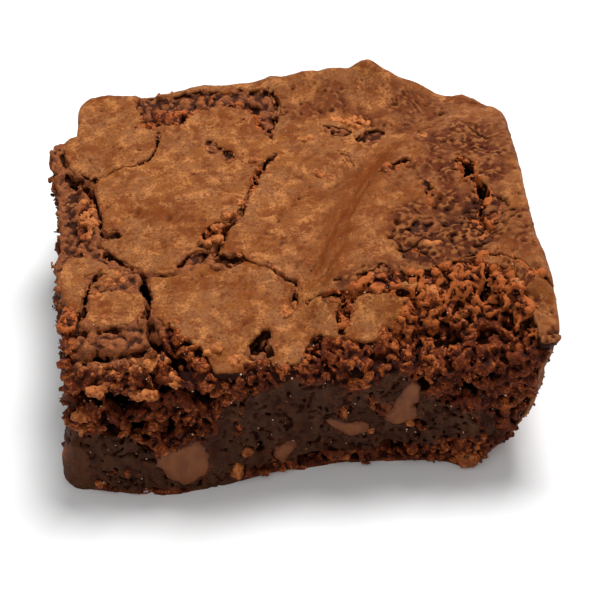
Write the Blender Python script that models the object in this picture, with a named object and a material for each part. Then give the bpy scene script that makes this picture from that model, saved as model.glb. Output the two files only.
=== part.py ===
"""Chocolate brownie: the corner piece of a baked slab, modelled in Blender 4.5 (metres, +Z up).

The piece stands on its flat base, centred on the origin. The front (-Y) and the left side (-X)
were cut with a knife. The right side (+X) and the back (+Y) baked against the tin, so they curve
in towards the base and end in a rim at the top. The top is a thin crust that rose, folded and
cracked. Chocolate chips show where they lie in the sides.

Sizes below are in millimetres and are turned into metres as each mesh is made.
"""
import math

import bmesh
import bpy
from mathutils import Matrix, Vector, noise
from mathutils.bvhtree import BVHTree
from mathutils.geometry import intersect_point_line

MM = 0.001

# Driving dimensions of the piece.
WIDTH = 76.0
DEPTH = 73.0
HEIGHT = 25.0
CORNER_RADII = {(-1, -1): 4.0, (1, -1): 3.5, (-1, 1): 5.0, (1, 1): 19.0}

# Mesh resolution: cells along each side of the top, and rows down the sides.
TOP_CELLS = 44
SIDE_ROWS = 8
SNAP_DISTANCE = 0.5 * WIDTH / TOP_CELLS
BASE_CHAMFER = 0.9

# The top: (x, y, reach in x, reach in y, height) of each broad rise or hollow.
RISES = [
    (16.5, 37.0, 7.0, 7.0, 4.6),
    (3.0, 37.0, 10.0, 6.0, 1.8),
    (37.0, -14.0, 6.0, 18.0, 1.6),
    (33.0, 30.0, 12.0, 13.0, -3.6),
    (-2.0, -36.0, 15.0, 9.0, -2.6),
    (-30.0, -12.0, 8.0, 10.0, -0.7),
    (-12.0, 2.0, 12.0, 12.0, 0.8),
    (-14.0, 33.0, 13.0, 5.0, -1.3),
    (-38.0, 10.0, 3.5, 15.0, -3.0),
    (24.0, -31.0, 12.0, 5.0, -1.8),
]

# The fold in the crust, front to back: the ground right of it stands higher.
FOLD = [(-1.0, -20.0), (1.0, -16.0), (6.0, -5.0), (10.0, 5.0), (17.0, 12.0)]
FOLD_RISE = 3.2
FOLD_SLOPE = (-1.0, 7.0)
FOLD_FADE = (-34.0, -18.0)

# Ledges where the front left corner slumped: (y of the edge, drop), and how soft each edge is.
LEDGES = [(-28.5, 1.6), (-32.5, 2.2)]
LEDGE_SOFTNESS = 0.8
SLUMP_END = (-22.5, -19.5)

# Cracks in the crust: (depth, half width, route).
CRACKS = [
    (4.2, 1.3, [(-38, 12), (-35, 7.5), (-31, 1), (-30, -4), (-31, -9), (-27, -14), (-24, -18),
                (-22.5, -28), (-22, -33), (-18, -38)]),
    (3.0, 1.0, [(-2, 18), (-4.5, 10), (-7, 4), (-9.5, -3), (-12, -6), (-12.5, -13), (-14.5, -15.5)]),
    (2.0, 0.9, [(-12, -14.5), (-6.5, -14.5), (-1, -18), (-2, -23), (-3, -29)]),
    (1.6, 0.9, [(-33, 12), (-24.5, 16), (-24.5, 23)]),
    (2.4, 1.0, [(0, -25), (4, -23.5), (6.5, -25), (16, -26)]),
    (2.6, 1.0, [(24, -19.5), (32, -20), (35, -25.5), (39, -27.5)]),
    (3.0, 1.1, [(30, 3.5), (32, -1), (31.5, -6.5)]),
]

# Pits in the top: (x, y, radius, depth).
PITS = [
    (-14.5, -12.0, 3.4, 1.6),
    (-12.0, 18.0, 1.6, 1.6),
    (9.5, 19.5, 2.4, 2.0),
    (14.5, 17.0, 2.4, 1.4),
    (22.0, -11.5, 2.6, 1.6),
    (20.5, 3.0, 2.2, 1.0),
    (28.5, -25.0, 2.2, 2.4),
    (-6.5, -36.0, 3.0, 1.6),
]

# The sides, measured at the base. A front swell is (x, reach, how far out).
RIGHT_UNDERCUT = 10.0
BACK_UNDERCUT = 4.0
UNDERCUT_POWER = 2.3
LEFT_LEAN = 0.5
FRONT_SWELLS = [(-22.0, 11.0, 3.0), (6.0, 11.0, -1.6), (25.0, 2.5, 1.6)]

# The rim over the baked sides, and the band of the side over which it ends.
RIM_DEPTH = 0.9
RIM_BAND = (0.12, 0.3)

# Where each side's own form starts, as a share of the way from the middle to that side.
RIGHT_START = 0.45
LEFT_START = 0.7
BACK_START = 0.6
FRONT_START = 0.9

# The left edge swells outwards towards the back and steps in again before the corner.
LEFT_SWELL = 2.6
LEFT_SWELL_BAND = (-18.0, 12.0)
LEFT_STEP_BAND = (22.0, 24.5)

# The right edge flares out towards the front.
RIGHT_FLARE = 1.3
RIGHT_FLARE_BAND = (6.0, 30.0)

# Hollows in the cut front: (x, z, reach in x, reach in z, depth).
FRONT_HOLLOWS = [
    (-29.0, 17.5, 3.2, 2.4, 3.2),
    (-23.5, 13.0, 4.0, 2.2, 3.2),
    (-16.0, 19.0, 4.0, 2.2, 2.8),
    (-36.0, 17.0, 2.0, 2.0, 1.2),
    (7.5, 20.0, 2.6, 1.8, 1.6),
    (16.5, 22.0, 3.0, 2.0, 2.0),
    (22.0, 26.5, 5.0, 2.4, 2.2),
    (22.5, 16.0, 3.0, 1.8, 1.8),
    (28.5, 19.0, 2.2, 3.0, 1.6),
]

# Unevenness of the crust and of the crumb at the sides: (size of a lump, height).
CRUST_LUMPS = (7.0, 0.45)
CRUMB_LUMPS = (3.2, 0.55)
LUMP_ROUGHNESS = 0.8
LUMP_SCALE_STEP = 2.0
LUMP_LAYERS = 2

# Chocolate chips: side, place along the side, height, width, depth from top to bottom, turn.
CHIPS = [
    ("front", -20.0, 6.2, 9.0, 8.6, 8.0),
    ("front", -3.9, 5.4, 4.8, 4.0, -6.0),
    ("front", 6.8, 9.8, 6.4, 3.8, 4.0),
    ("front", 14.9, 13.8, 4.8, 8.8, -14.0),
    ("left", 21.0, 8.0, 7.0, 6.0, 12.0),
    ("left", -6.0, 13.0, 5.2, 6.8, -20.0),
    ("left", 5.5, 5.6, 6.0, 4.4, 6.0),
]
CHIP_SEGMENTS = 14
CHIP_RINGS = 4
CHIP_SQUARENESS = 2.6
CHIP_CHAMFER = 0.3
CHIP_ROUNDNESS = 1.3
CHIP_PROUD = 0.25
GAP = 0.3
SOCKET_REACH = 4.0
SIDE_DIRECTIONS = {"front": Vector((0.0, -1.0, 0.0)), "left": Vector((-1.0, 0.0, 0.0))}

CRUMB_COLOUR = (0.115, 0.042, 0.018)
CRUMB_ROUGHNESS = 0.8
CHIP_COLOUR = (0.130, 0.048, 0.020)
CHIP_ROUGHNESS = 0.45
SHARP_EDGE_DEGREES = 40.0


def clear_scene():
    for obj in list(bpy.data.objects):
        bpy.data.objects.remove(obj, do_unlink=True)


def smooth(low, high, value):
    """Rise from 0 at low to 1 at high, level at both ends."""
    t = min(max((value - low) / (high - low), 0.0), 1.0)
    return t * t * (3.0 - 2.0 * t)


def bell(x, y, spot):
    """Height at (x, y) of a round-topped rise."""
    centre_x, centre_y, reach_x, reach_y, height = spot
    return height * math.exp(-(((x - centre_x) / reach_x) ** 2) - ((y - centre_y) / reach_y) ** 2)


def lumps(x, y, z, size_and_height):
    """Smooth unevenness with lumps of the given size."""
    size, height = size_and_height
    place = Vector((x, y, z)) / size
    return height * noise.fractal(place, LUMP_ROUGHNESS, LUMP_SCALE_STEP, LUMP_LAYERS)


def nearest_on_route(x, y, route):
    """Distance from (x, y) to a route of straight runs, and the route's nearest point."""
    point = Vector((x, y, 0.0))
    shortest = math.inf
    closest = None
    for start, end in zip(route, route[1:]):
        start = Vector((*start, 0.0))
        end = Vector((*end, 0.0))
        along = intersect_point_line(point, start, end)[1]
        nearest = start.lerp(end, min(max(along, 0.0), 1.0))
        distance = (point - nearest).length
        if distance < shortest:
            shortest = distance
            closest = nearest
    return shortest, closest


def fold_x(y):
    """Where the fold in the crust crosses the line at y."""
    for (x0, y0), (x1, y1) in zip(FOLD, FOLD[1:]):
        if y <= y1:
            return x0 + (x1 - x0) * (y - y0) / (y1 - y0)
    (x0, y0), (x1, y1) = FOLD[-2:]
    return x1 + (x1 - x0) * (y - y1) / (y1 - y0)


def crack_depth(x, y):
    """Depth of the deepest crack at (x, y)."""
    return max(
        depth * math.exp(-((nearest_on_route(x, y, route)[0] / half_width) ** 2))
        for depth, half_width, route in CRACKS
    )


def slump_depth(x, y):
    """How far the front left corner has sunk, ledge by ledge."""
    sunk = 0.0
    for edge, drop in LEDGES:
        sunk += drop * (1.0 - smooth(edge - LEDGE_SOFTNESS, edge + LEDGE_SOFTNESS, y))
    return sunk * (1.0 - smooth(*SLUMP_END, x))


def pit_depth(x, y):
    """Depth of the pits at (x, y)."""
    depth = 0.0
    for pit_x, pit_y, radius, deepest in PITS:
        reach = ((x - pit_x) ** 2 + (y - pit_y) ** 2) / radius**2
        depth += deepest * math.exp(-(reach**2))
    return depth


def top_height(x, y):
    """Height of the top surface over (x, y)."""
    height = HEIGHT + sum(bell(x, y, rise) for rise in RISES)
    height += FOLD_RISE * smooth(*FOLD_SLOPE, x - fold_x(y)) * smooth(*FOLD_FADE, y)
    height -= pit_depth(x, y) + crack_depth(x, y) + slump_depth(x, y)
    return height + lumps(x, y, 0.0, CRUST_LUMPS)


def outline_point(u, v):
    """Plan position of the top's edge for a point (u, v) on the border of the unit square."""
    x = u * WIDTH / 2.0
    y = v * DEPTH / 2.0
    corner = (1 if u > 0.0 else -1, 1 if v > 0.0 else -1)
    radius = CORNER_RADII[corner]
    centre = Vector((corner[0] * (WIDTH / 2.0 - radius), corner[1] * (DEPTH / 2.0 - radius)))
    outwards = Vector((x, y)) - centre
    if outwards.x * corner[0] > 0.0 and outwards.y * corner[1] > 0.0:
        x, y = centre + outwards.normalized() * radius
    swell = LEFT_SWELL * smooth(*LEFT_SWELL_BAND, y) * (1.0 - smooth(*LEFT_STEP_BAND, y))
    flare = RIGHT_FLARE * smooth(*RIGHT_FLARE_BAND, -y)
    x -= swell * smooth(LEFT_START, 1.0, -u)
    x += flare * smooth(RIGHT_START, 1.0, u)
    return x, y


def plan_point(u, v):
    """Plan position of grid point (u, v): square in the middle, following the outline at the edge."""
    reach = max(abs(u), abs(v))
    x = u * WIDTH / 2.0
    y = v * DEPTH / 2.0
    if reach == 0.0:
        return x, y
    edge_x, edge_y = outline_point(u / reach, v / reach)
    pull = reach**4
    x += (edge_x * reach - x) * pull
    y += (edge_y * reach - y) * pull
    return x, y


def snap_to_crack(x, y):
    """Move a point that lies next to a crack onto the crack's line, so that its bottom runs clean."""
    for _depth, _half_width, route in CRACKS:
        distance, nearest = nearest_on_route(x, y, route)
        if distance < SNAP_DISTANCE:
            return nearest.x, nearest.y
    return x, y


def side_shift(u, v, x, z, drop):
    """How far the side lies from the top's edge in x and y; drop runs from 0, top, to 1, base."""
    right = smooth(RIGHT_START, 1.0, u)
    left = smooth(LEFT_START, 1.0, -u)
    back = smooth(BACK_START, 1.0, v)
    front = smooth(FRONT_START, 1.0, -v)
    under_rim = RIM_DEPTH * smooth(*RIM_BAND, drop)
    curve = drop**UNDERCUT_POWER
    shift_x = -right * (RIGHT_UNDERCUT * curve + under_rim) - left * LEFT_LEAN * drop
    shift_y = -back * (BACK_UNDERCUT * curve + under_rim)
    for centre, reach, out in FRONT_SWELLS:
        shift_y -= front * out * drop * math.exp(-(((x - centre) / reach) ** 2))
    shift_y += front * sum(bell(x, z, hollow) for hollow in FRONT_HOLLOWS)
    return Vector((shift_x, shift_y, 0.0))


def grid_coordinate(step):
    """From a count of cells to a coordinate that runs from -1 to 1."""
    return 2.0 * step / TOP_CELLS - 1.0


def border_steps():
    """Grid positions round the border of the top, counter-clockwise from the front left."""
    steps = [(i, 0) for i in range(TOP_CELLS)]
    steps += [(TOP_CELLS, j) for j in range(TOP_CELLS)]
    steps += [(i, TOP_CELLS) for i in range(TOP_CELLS, 0, -1)]
    steps += [(0, j) for j in range(TOP_CELLS, 0, -1)]
    return steps


def add_cell(bm, corners):
    """Two triangles, split along the diagonal that follows the surface best."""
    front_left, front_right, back_right, back_left = corners
    middle = sum((vert.co for vert in corners), Vector()) / 4.0
    true_height = top_height(middle.x / MM, middle.y / MM) * MM
    rising = abs((front_left.co.z + back_right.co.z) / 2.0 - true_height)
    falling = abs((front_right.co.z + back_left.co.z) / 2.0 - true_height)
    if rising < falling:
        bm.faces.new((front_left, front_right, back_right))
        bm.faces.new((front_left, back_right, back_left))
    else:
        bm.faces.new((front_left, front_right, back_left))
        bm.faces.new((front_right, back_right, back_left))


def add_top(bm):
    """The cracked top as a grid of cells; gives back its border vertices in order."""
    grid = {}
    for i in range(TOP_CELLS + 1):
        for j in range(TOP_CELLS + 1):
            x, y = plan_point(grid_coordinate(i), grid_coordinate(j))
            if 0 < i < TOP_CELLS and 0 < j < TOP_CELLS:
                x, y = snap_to_crack(x, y)
            grid[i, j] = bm.verts.new(Vector((x, y, top_height(x, y))) * MM)
    for i in range(TOP_CELLS):
        for j in range(TOP_CELLS):
            add_cell(bm, (grid[i, j], grid[i + 1, j], grid[i + 1, j + 1], grid[i, j + 1]))
    return [grid[step] for step in border_steps()]


def border_normals(border):
    """Outward directions in plan at each border vertex."""
    normals = []
    for index, vert in enumerate(border):
        before = border[index - 1].co
        after = border[(index + 1) % len(border)].co
        along = after - before
        normals.append(Vector((along.y, -along.x, 0.0)).normalized())
    return normals


def side_point(vert, normal, step, drop):
    """Where the side lies below a border vertex, drop of the way down to the base."""
    x, y, top = vert.co / MM
    z = top * (1.0 - drop)
    point = Vector((x, y, z))
    point += side_shift(grid_coordinate(step[0]), grid_coordinate(step[1]), x, z, drop)
    outwards = lumps(x, y, z + HEIGHT, CRUMB_LUMPS)
    if drop == 1.0:
        outwards -= BASE_CHAMFER
    return (point + normal * outwards) * MM


def add_sides(bm, border):
    """Rows of quads from the top's border down to the flat base, and the base itself."""
    normals = border_normals(border)
    steps = border_steps()
    above = border
    for row in range(1, SIDE_ROWS + 1):
        drop = row / SIDE_ROWS
        below = []
        for vert, normal, step in zip(border, normals, steps):
            below.append(bm.verts.new(side_point(vert, normal, step, drop)))
        for index in range(len(border)):
            after = (index + 1) % len(border)
            bm.faces.new((above[after], above[index], below[index], below[after]))
        above = below
    bm.faces.new(list(reversed(above)))


def chip_rings(width, height, gap, reach):
    """Rings of a chip, face first: (distance behind the face, share of the outline's size)."""
    half = min(width, height) / 2.0
    rings = [(-reach, 1.0)] if reach else [(0.0, 1.0 - CHIP_CHAMFER / half)]
    rings.append((CHIP_CHAMFER, 1.0))
    depth = half * CHIP_ROUNDNESS + gap
    for ring in range(1, CHIP_RINGS):
        angle = 0.5 * math.pi * ring / CHIP_RINGS
        rings.append((CHIP_CHAMFER + depth * math.sin(angle), math.cos(angle)))
    return rings


def chip_mesh(name, width, height, gap=0.0, reach=0.0):
    """A cut chip: a flat face towards -Y, a rounded back towards +Y, grown by gap all round."""
    bm = bmesh.new()
    power = 2.0 / CHIP_SQUARENESS
    rings = []
    for behind, share in chip_rings(width, height, gap, reach):
        ring = []
        for segment in range(CHIP_SEGMENTS):
            angle = 2.0 * math.pi * segment / CHIP_SEGMENTS
            across = math.copysign(abs(math.cos(angle)) ** power, math.cos(angle))
            upwards = math.copysign(abs(math.sin(angle)) ** power, math.sin(angle))
            x = (width / 2.0 + gap) * across * share
            z = (height / 2.0 + gap) * upwards * share
            ring.append(bm.verts.new(Vector((x, behind, z)) * MM))
        rings.append(ring)
    for front, behind in zip(rings, rings[1:]):
        for index in range(CHIP_SEGMENTS):
            after = (index + 1) % CHIP_SEGMENTS
            bm.faces.new((front[index], behind[index], behind[after], front[after]))
    bm.faces.new(rings[0])
    bm.faces.new(list(reversed(rings[-1])))
    mesh = bpy.data.meshes.new(name)
    bmesh.ops.recalc_face_normals(bm, faces=bm.faces)
    bm.to_mesh(mesh)
    bm.free()
    return mesh


def material(name, colour, roughness):
    mat = bpy.data.materials.new(name)
    mat.use_nodes = True
    shader = mat.node_tree.nodes["Principled BSDF"]
    shader.inputs["Base Color"].default_value = (*colour, 1.0)
    shader.inputs["Roughness"].default_value = roughness
    shader.inputs["Metallic"].default_value = 0.0
    return mat


def add_object(name, mesh, parent, mat=None):
    obj = bpy.data.objects.new(name, mesh)
    bpy.context.scene.collection.objects.link(obj)
    obj.parent = parent
    if mat:
        mesh.materials.append(mat)
        mesh.shade_smooth()
        mesh.set_sharp_from_angle(angle=math.radians(SHARP_EDGE_DEGREES))
    return obj


def build_body(parent):
    """The brownie itself, with its top, sides and flat base, and a tree to seat the chips by."""
    bm = bmesh.new()
    border = add_top(bm)
    add_sides(bm, border)
    mesh = bpy.data.meshes.new("brownie")
    bm.to_mesh(mesh)
    tree = BVHTree.FromBMesh(bm)
    bm.free()
    crumb = material("brownie crumb", CRUMB_COLOUR, CRUMB_ROUGHNESS)
    return add_object("brownie", mesh, parent, crumb), tree


def chip_place(tree, side, along, height, turn):
    """Where a chip's face lies: on the side's surface, facing straight out of it."""
    out = SIDE_DIRECTIONS[side]
    start = out * WIDTH + Vector((0.0, 0.0, height))
    start += Vector((along, 0.0, 0.0)) if side == "front" else Vector((0.0, along, 0.0))
    surface = tree.ray_cast(start * MM, -out)[0]
    facing = Matrix.Rotation(math.atan2(out.x, -out.y), 4, "Z")
    rolled = Matrix.Rotation(math.radians(turn), 4, "Y")
    return Matrix.Translation(surface + out * CHIP_PROUD * MM) @ facing @ rolled


def seat_chip(index, body, tree, parent, mat, chip):
    """One chip in its socket, which is cut with a gap all round it."""
    side, along, height, width, tall, turn = chip
    place = chip_place(tree, side, along, height, turn)
    piece = add_object(f"chip_{index}", chip_mesh(f"chip_{index}", width, tall), parent, mat)
    piece.matrix_local = place
    cutter_mesh = chip_mesh(f"socket_{index}", width, tall, GAP, SOCKET_REACH)
    cutter = add_object(f"socket_{index}", cutter_mesh, parent)
    cutter.matrix_local = place
    cutter.hide_render = True
    cutter.display_type = "WIRE"
    cut = body.modifiers.new(f"socket_{index}", "BOOLEAN")
    cut.operation = "DIFFERENCE"
    cut.solver = "EXACT"
    cut.object = cutter
    return piece


def centre_on_origin(parent, pieces):
    """Move everything sideways so that the middle of the whole box is over the origin."""
    points = [piece.matrix_local @ vert.co for piece in pieces for vert in piece.data.vertices]
    for axis in (0, 1):
        low = min(point[axis] for point in points)
        high = max(point[axis] for point in points)
        parent.location[axis] = -(low + high) / 2.0


def main():
    clear_scene()
    frame = bpy.data.objects.new("frame", None)
    bpy.context.scene.collection.objects.link(frame)
    body, tree = build_body(frame)
    chip_material = material("chocolate chip", CHIP_COLOUR, CHIP_ROUGHNESS)
    pieces = [body]
    for index, chip in enumerate(CHIPS, start=1):
        pieces.append(seat_chip(index, body, tree, frame, chip_material, chip))
    centre_on_origin(frame, pieces)


main()
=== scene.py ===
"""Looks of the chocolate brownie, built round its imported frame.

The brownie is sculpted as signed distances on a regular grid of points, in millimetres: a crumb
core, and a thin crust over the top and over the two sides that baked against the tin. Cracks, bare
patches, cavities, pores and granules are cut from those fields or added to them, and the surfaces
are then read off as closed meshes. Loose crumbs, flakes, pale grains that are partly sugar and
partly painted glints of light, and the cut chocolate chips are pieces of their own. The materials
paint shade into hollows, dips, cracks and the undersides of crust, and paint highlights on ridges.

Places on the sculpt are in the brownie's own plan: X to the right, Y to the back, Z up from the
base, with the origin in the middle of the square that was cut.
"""

import math

import bmesh
import bpy
import numpy as np
import openvdb
from mathutils import Matrix, Vector

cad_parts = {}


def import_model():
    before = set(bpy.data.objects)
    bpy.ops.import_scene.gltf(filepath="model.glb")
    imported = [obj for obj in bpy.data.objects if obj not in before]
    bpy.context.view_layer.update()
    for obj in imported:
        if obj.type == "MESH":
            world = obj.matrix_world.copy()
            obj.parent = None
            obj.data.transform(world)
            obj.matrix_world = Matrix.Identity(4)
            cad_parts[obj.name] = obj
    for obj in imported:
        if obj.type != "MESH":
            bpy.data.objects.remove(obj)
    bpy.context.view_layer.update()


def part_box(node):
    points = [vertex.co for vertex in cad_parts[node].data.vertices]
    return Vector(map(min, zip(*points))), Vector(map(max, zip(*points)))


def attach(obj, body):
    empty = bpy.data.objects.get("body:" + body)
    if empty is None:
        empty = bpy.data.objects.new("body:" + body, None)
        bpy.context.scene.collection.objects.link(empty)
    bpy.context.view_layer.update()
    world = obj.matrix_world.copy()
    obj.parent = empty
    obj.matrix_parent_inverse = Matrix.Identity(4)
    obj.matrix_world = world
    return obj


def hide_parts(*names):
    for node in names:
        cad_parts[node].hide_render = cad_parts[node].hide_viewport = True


# Metres in a millimetre, and the seed of everything random.
MM = 0.001
SEED = 7

# The block of space that the sculpt is worked out in, its fineness, and the most triangles that a
# piece may have.
GRID_LOW = (-43.0, -42.0, -1.2)
GRID_HIGH = (42.0, 40.5, 32.5)
CELL = 0.25
MOST_TRIANGLES = 190000

# Farther than anything on the brownie: where a map of distances starts.
FAR = 99.0

# How often a surface is smoothed to find its dips.
DIP_PASSES = 4
FLAKE_DIP_PASSES = 3

# ---------------------------------------------------------------------------------------------
# The brownie's form
# ---------------------------------------------------------------------------------------------

# Half the width and depth of the square that was cut, the height of its top, the crust's thickness,
# how far the crust stands above the bare crumb beside it, and the rounding of the corners in plan.
HALF_WIDTH = 38.0
HALF_DEPTH = 36.5
HEIGHT = 25.0
CRUST_THICKNESS = 1.1
CRUST_SHOWN = 0.32
CORNERS = {"front_left": 4.0, "front_right": 3.5, "back_left": 5.0, "back_right": 19.0}

# Broad rises and hollows of the top: x, y, reach in x, reach in y, height.
RISES = [
    (15.0, 38.0, 3.2, 5.0, 3.0),
    (18.5, 37.0, 7.0, 6.0, 2.0),
    (8.0, 38.0, 6.0, 6.0, 2.9),
    (2.0, 38.5, 2.4, 4.0, 1.2),
    (-2.6, 38.5, 2.6, 4.0, 1.3),
    (-10.0, 38.0, 12.0, 7.0, 2.0),
    (-33.0, 38.0, 7.0, 6.0, 0.9),
    (37.0, -14.0, 6.0, 18.0, 1.0),
    (33.0, 30.0, 12.0, 13.0, -3.6),
    (-2.0, -36.0, 15.0, 9.0, -2.6),
    (-30.0, -12.0, 8.0, 10.0, -0.7),
    (-12.0, 2.0, 12.0, 12.0, 0.8),
    (-38.0, 3.0, 3.5, 10.0, -1.6),
    (24.0, -31.0, 12.0, 5.0, -1.8),
    (5.2, 22.4, 2.6, 2.2, 1.1),
]

# The fold in the crust, front to back, as (y, x): the ground right of it stands higher.
FOLD = [(-23.0, -1.0), (-19.0, 0.8), (-12.0, 2.6), (-6.0, 4.6), (4.0, 8.4), (10.5, 11.8), (14.0, 16.0),
        (20.0, 22.0), (40.0, 30.0)]
# How high the ground rises, from where to where past the fold, and where along y that fades in.
FOLD_RISE = 3.2
FOLD_SLOPE = (-1.0, 7.0)
FOLD_FADE = (-34.0, -20.0)

# How far the two baked sides curve in at the base, and the rim over them. The rim and the step below
# it lie between these parts of the height, counted down from the top.
RIGHT_UNDERCUT = 10.0
BACK_UNDERCUT = 4.0
UNDERCUT_POWER = 2.3
RIM_DEPTH = 0.9
RIM_BAND = (0.12, 0.3)
RIGHT_STEP = 0.8
STEP_BAND = (0.03, 0.13)

# How far the right side flares out, the left side slopes out and its foot stands out at the front,
# and how far in front of the middle these forms and the right side's front part begin and are full.
RIGHT_FLARE = 1.1
FLARE_BAND = (14.0, 31.0)
NEAR_FRONT = (16.0, 34.0)
LEFT_SLOPE = 0.5
LEFT_FOOT = 1.0
FOOT_BAND = (14.0, 30.0)

# Swells of the front at its base and of the back, as (x, reach, mm).
FRONT_SWELLS = [(-22.0, 11.0, 3.0), (6.0, 11.0, -1.6), (25.0, 2.5, 1.6)]
BACK_BULGES = [(-6.0, 12.0, 1.0), (9.0, 9.0, 1.1)]

# How far the left side stands out above its foot, as (y, mm), and the heights between which it draws
# in where that is less than 0.
LEFT_IN_BAND = (3.0, 12.0)
LEFT_OUT = [(-40.0, -1.2), (-26.0, -1.5), (-20.0, -0.9), (-16.0, 0.2), (-12.0, 0.9), (-6.0, 0.6), (1.0, 1.1),
            (10.0, 1.9), (13.0, 2.5), (17.0, 3.2), (22.0, 3.6), (24.5, 0.0), (40.0, 0.0)]

# Cracks: depth, then the route as (x, y, width).
CRACKS = {
    "left_back": (3.0, [(-40, 20, 0.8), (-38.5, 15.5, 1.4), (-37, 13.5, 2.2), (-34.5, 9.5, 2.0)]),
    "left": (5.5, [(-34.5, 9.5, 2.0), (-33.5, 6, 0.9), (-32, 1.5, 0.9), (-32, -6, 0.8), (-30, -9, 1.0),
                   (-27, -12, 1.2), (-25, -15, 1.9), (-24.5, -18, 1.8), (-23.5, -23, 1.1), (-23, -28, 1.2),
                   (-21.5, -30.5, 1.6), (-19, -33.5, 1.6), (-16.5, -36, 1.8), (-13, -39, 1.6)]),
    "corner": (3.2, [(-31, -13.5, 0.9), (-32.5, -16, 1.2), (-34, -20.5, 1.4), (-34.2, -24, 1.4),
                     (-35, -28.5, 1.2), (-36, -31, 1.0)]),
    "first_ledge": (3.0, [(-34.2, -27.6, 0.6), (-31, -27.5, 0.7), (-28, -27.1, 0.8), (-24, -26.2, 0.7)]),
    "second_ledge": (3.0, [(-33, -31.7, 0.5), (-28, -31.3, 0.9), (-22.5, -29.9, 0.7)]),
    "middle": (3.6, [(-3, 15, 0.8), (-5, 10.5, 1.2), (-6.3, 7, 0.6), (-8, 2.6, 1.2), (-8.7, 0, 1.1),
                     (-10.2, -4, 1.6), (-12, -7.5, 1.8), (-13, -10.5, 1.4)]),
    "across": (2.4, [(-12.7, -12, 1.5), (-9.9, -14, 1.0), (-7.8, -14, 0.5), (-6.1, -14, 0.4),
                     (-4.1, -15.5, 0.6), (-2.5, -17.8, 0.9), (-1, -19, 0.6), (-1.4, -22, 1.2),
                     (-1.2, -24.5, 0.9)]),
    "left_branch": (3.6, [(-24.7, -15.3, 2.0), (-22.6, -15, 1.2), (-20.5, -15, 0.7), (-18, -15.5, 0.9)]),
    "back_left": (1.8, [(-32.5, 12.3, 0.5), (-28.7, 14.7, 0.5), (-26.4, 16, 0.6), (-24.5, 17.5, 0.4),
                        (-24.3, 20.5, 0.4), (-24, 24, 0.8)]),
    "back": (1.8, [(-2.1, 33, 0.8), (-2.2, 28, 0.7), (-2.4, 25.6, 0.4)]),
    "front_right": (3.6, [(1, -24.5, 0.4), (3, -23.3, 0.6), (4.6, -23.5, 0.9), (6.3, -24.4, 1.4),
                          (9.7, -24.8, 1.0), (12.8, -24.9, 0.8), (15.8, -25.2, 1.2), (18, -26.5, 1.4)]),
    "right": (2.0, [(26.6, -18.8, 0.5), (31, -19.4, 0.7), (33.3, -21.5, 0.4), (35.5, -24.3, 0.6),
                    (39, -26.5, 0.6)]),
    "right_hole_1": (4.6, [(28, 5.8, 1.2), (29, 4.0, 2.7), (29.3, 2.2, 2.0), (28.9, 0.4, 0.9)]),
    "right_hole_2": (4.6, [(30.4, 0.2, 0.9), (30.6, -2.0, 3.0), (31.2, -4.2, 1.7)]),
    "right_hole_3": (3.0, [(29.4, 15.2, 0.8), (31.4, 15.4, 1.4), (33.2, 13.0, 0.8)]),
    "right_crack": (2.6, [(31.2, -4.2, 0.9), (30.0, -8, 0.8), (30.6, -11, 1.0), (29.2, -14, 0.6)]),
    "plate_gap": (2.2, [(6.4, -24.6, 0.8), (6.9, -27.2, 1.3), (6.2, -30.2, 0.9)]),
    "hairline": (0.8, [(8, 14.8, 0.25), (10.5, 11.3, 0.3)]),
}

# How many points of the left crack, from its back end, bound the crust.
BOUNDING_POINTS = 10

# Patches without crust: x, y, half length, half width, turn in degrees, depth below the crust.
BARE_PATCHES = [
    (-35.5, 12.3, 2.8, 1.5, -35.0, 1.6),
    (-13.3, 18.6, 0.8, 1.9, 20.0, 1.2),
    (-11.2, 14.6, 0.9, 1.3, 0.0, 1.2),
    (-29.4, -4.0, 1.5, 1.1, 0.0, 1.4),
    (-6.4, -32.8, 1.8, 2.8, 0.0, 2.2),
    (-15.5, -11.8, 3.0, 2.3, 35.0, 1.4),
    (-13.4, -6.4, 3.2, 2.2, 35.0, 1.2),
    (-11.5, -13.6, 2.4, 1.5, 10.0, 1.6),
    (8.6, 21.0, 1.6, 0.8, 0.0, 2.4),
    (14.3, 18.6, 1.8, 2.1, 0.0, 1.3),
    (12.8, -8.6, 0.8, 1.4, 20.0, 1.0),
    (20.7, -11.2, 2.7, 2.5, 0.0, 0.9),
    (17.0, 5.5, 1.0, 1.3, 0.0, 1.0),
    (19.2, 6.2, 1.4, 0.9, 0.0, 1.0),
    (21.3, -0.8, 1.1, 1.9, 0.0, 1.0),
    (21.7, -4.7, 0.8, 1.3, 0.0, 1.0),
    (17.0, -22.6, 9.5, 1.7, 6.0, 0.8),
]

# The long bare band behind, as (x, y), and its depth.
BACK_BAND = [(-27.6, 36.6), (-24, 36.4), (-21, 35.3), (-12, 35.1), (-3.2, 34.2), (-2.2, 26.5), (-3.4, 20.8),
             (-5.3, 23.9), (-8.2, 27.9), (-13, 30), (-17.8, 29.5), (-22.5, 26.5), (-25.4, 25.6), (-27, 28.7)]
BACK_BAND_DEPTH = 1.2

# The front edge of the crust, as (x, y).
CRUST_FRONT = [(-40, -26.5), (-24, -26.5), (-22.5, -25), (-20.2, -27.7), (-17.6, -30), (-15, -31),
               (-13.4, -33.4), (-12, -36), (-9.2, -35.6), (-7, -34.5), (-4.4, -34.4), (-1.6, -35), (0.6, -33),
               (1.4, -30.6), (5.2, -30.4), (8.1, -32.3), (12.3, -31.3), (15.4, -29.2), (16.6, -26),
               (20, -20.8), (27, -19.6), (32, -23), (35.2, -29), (36.4, -37.5), (42, -38)]

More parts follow.
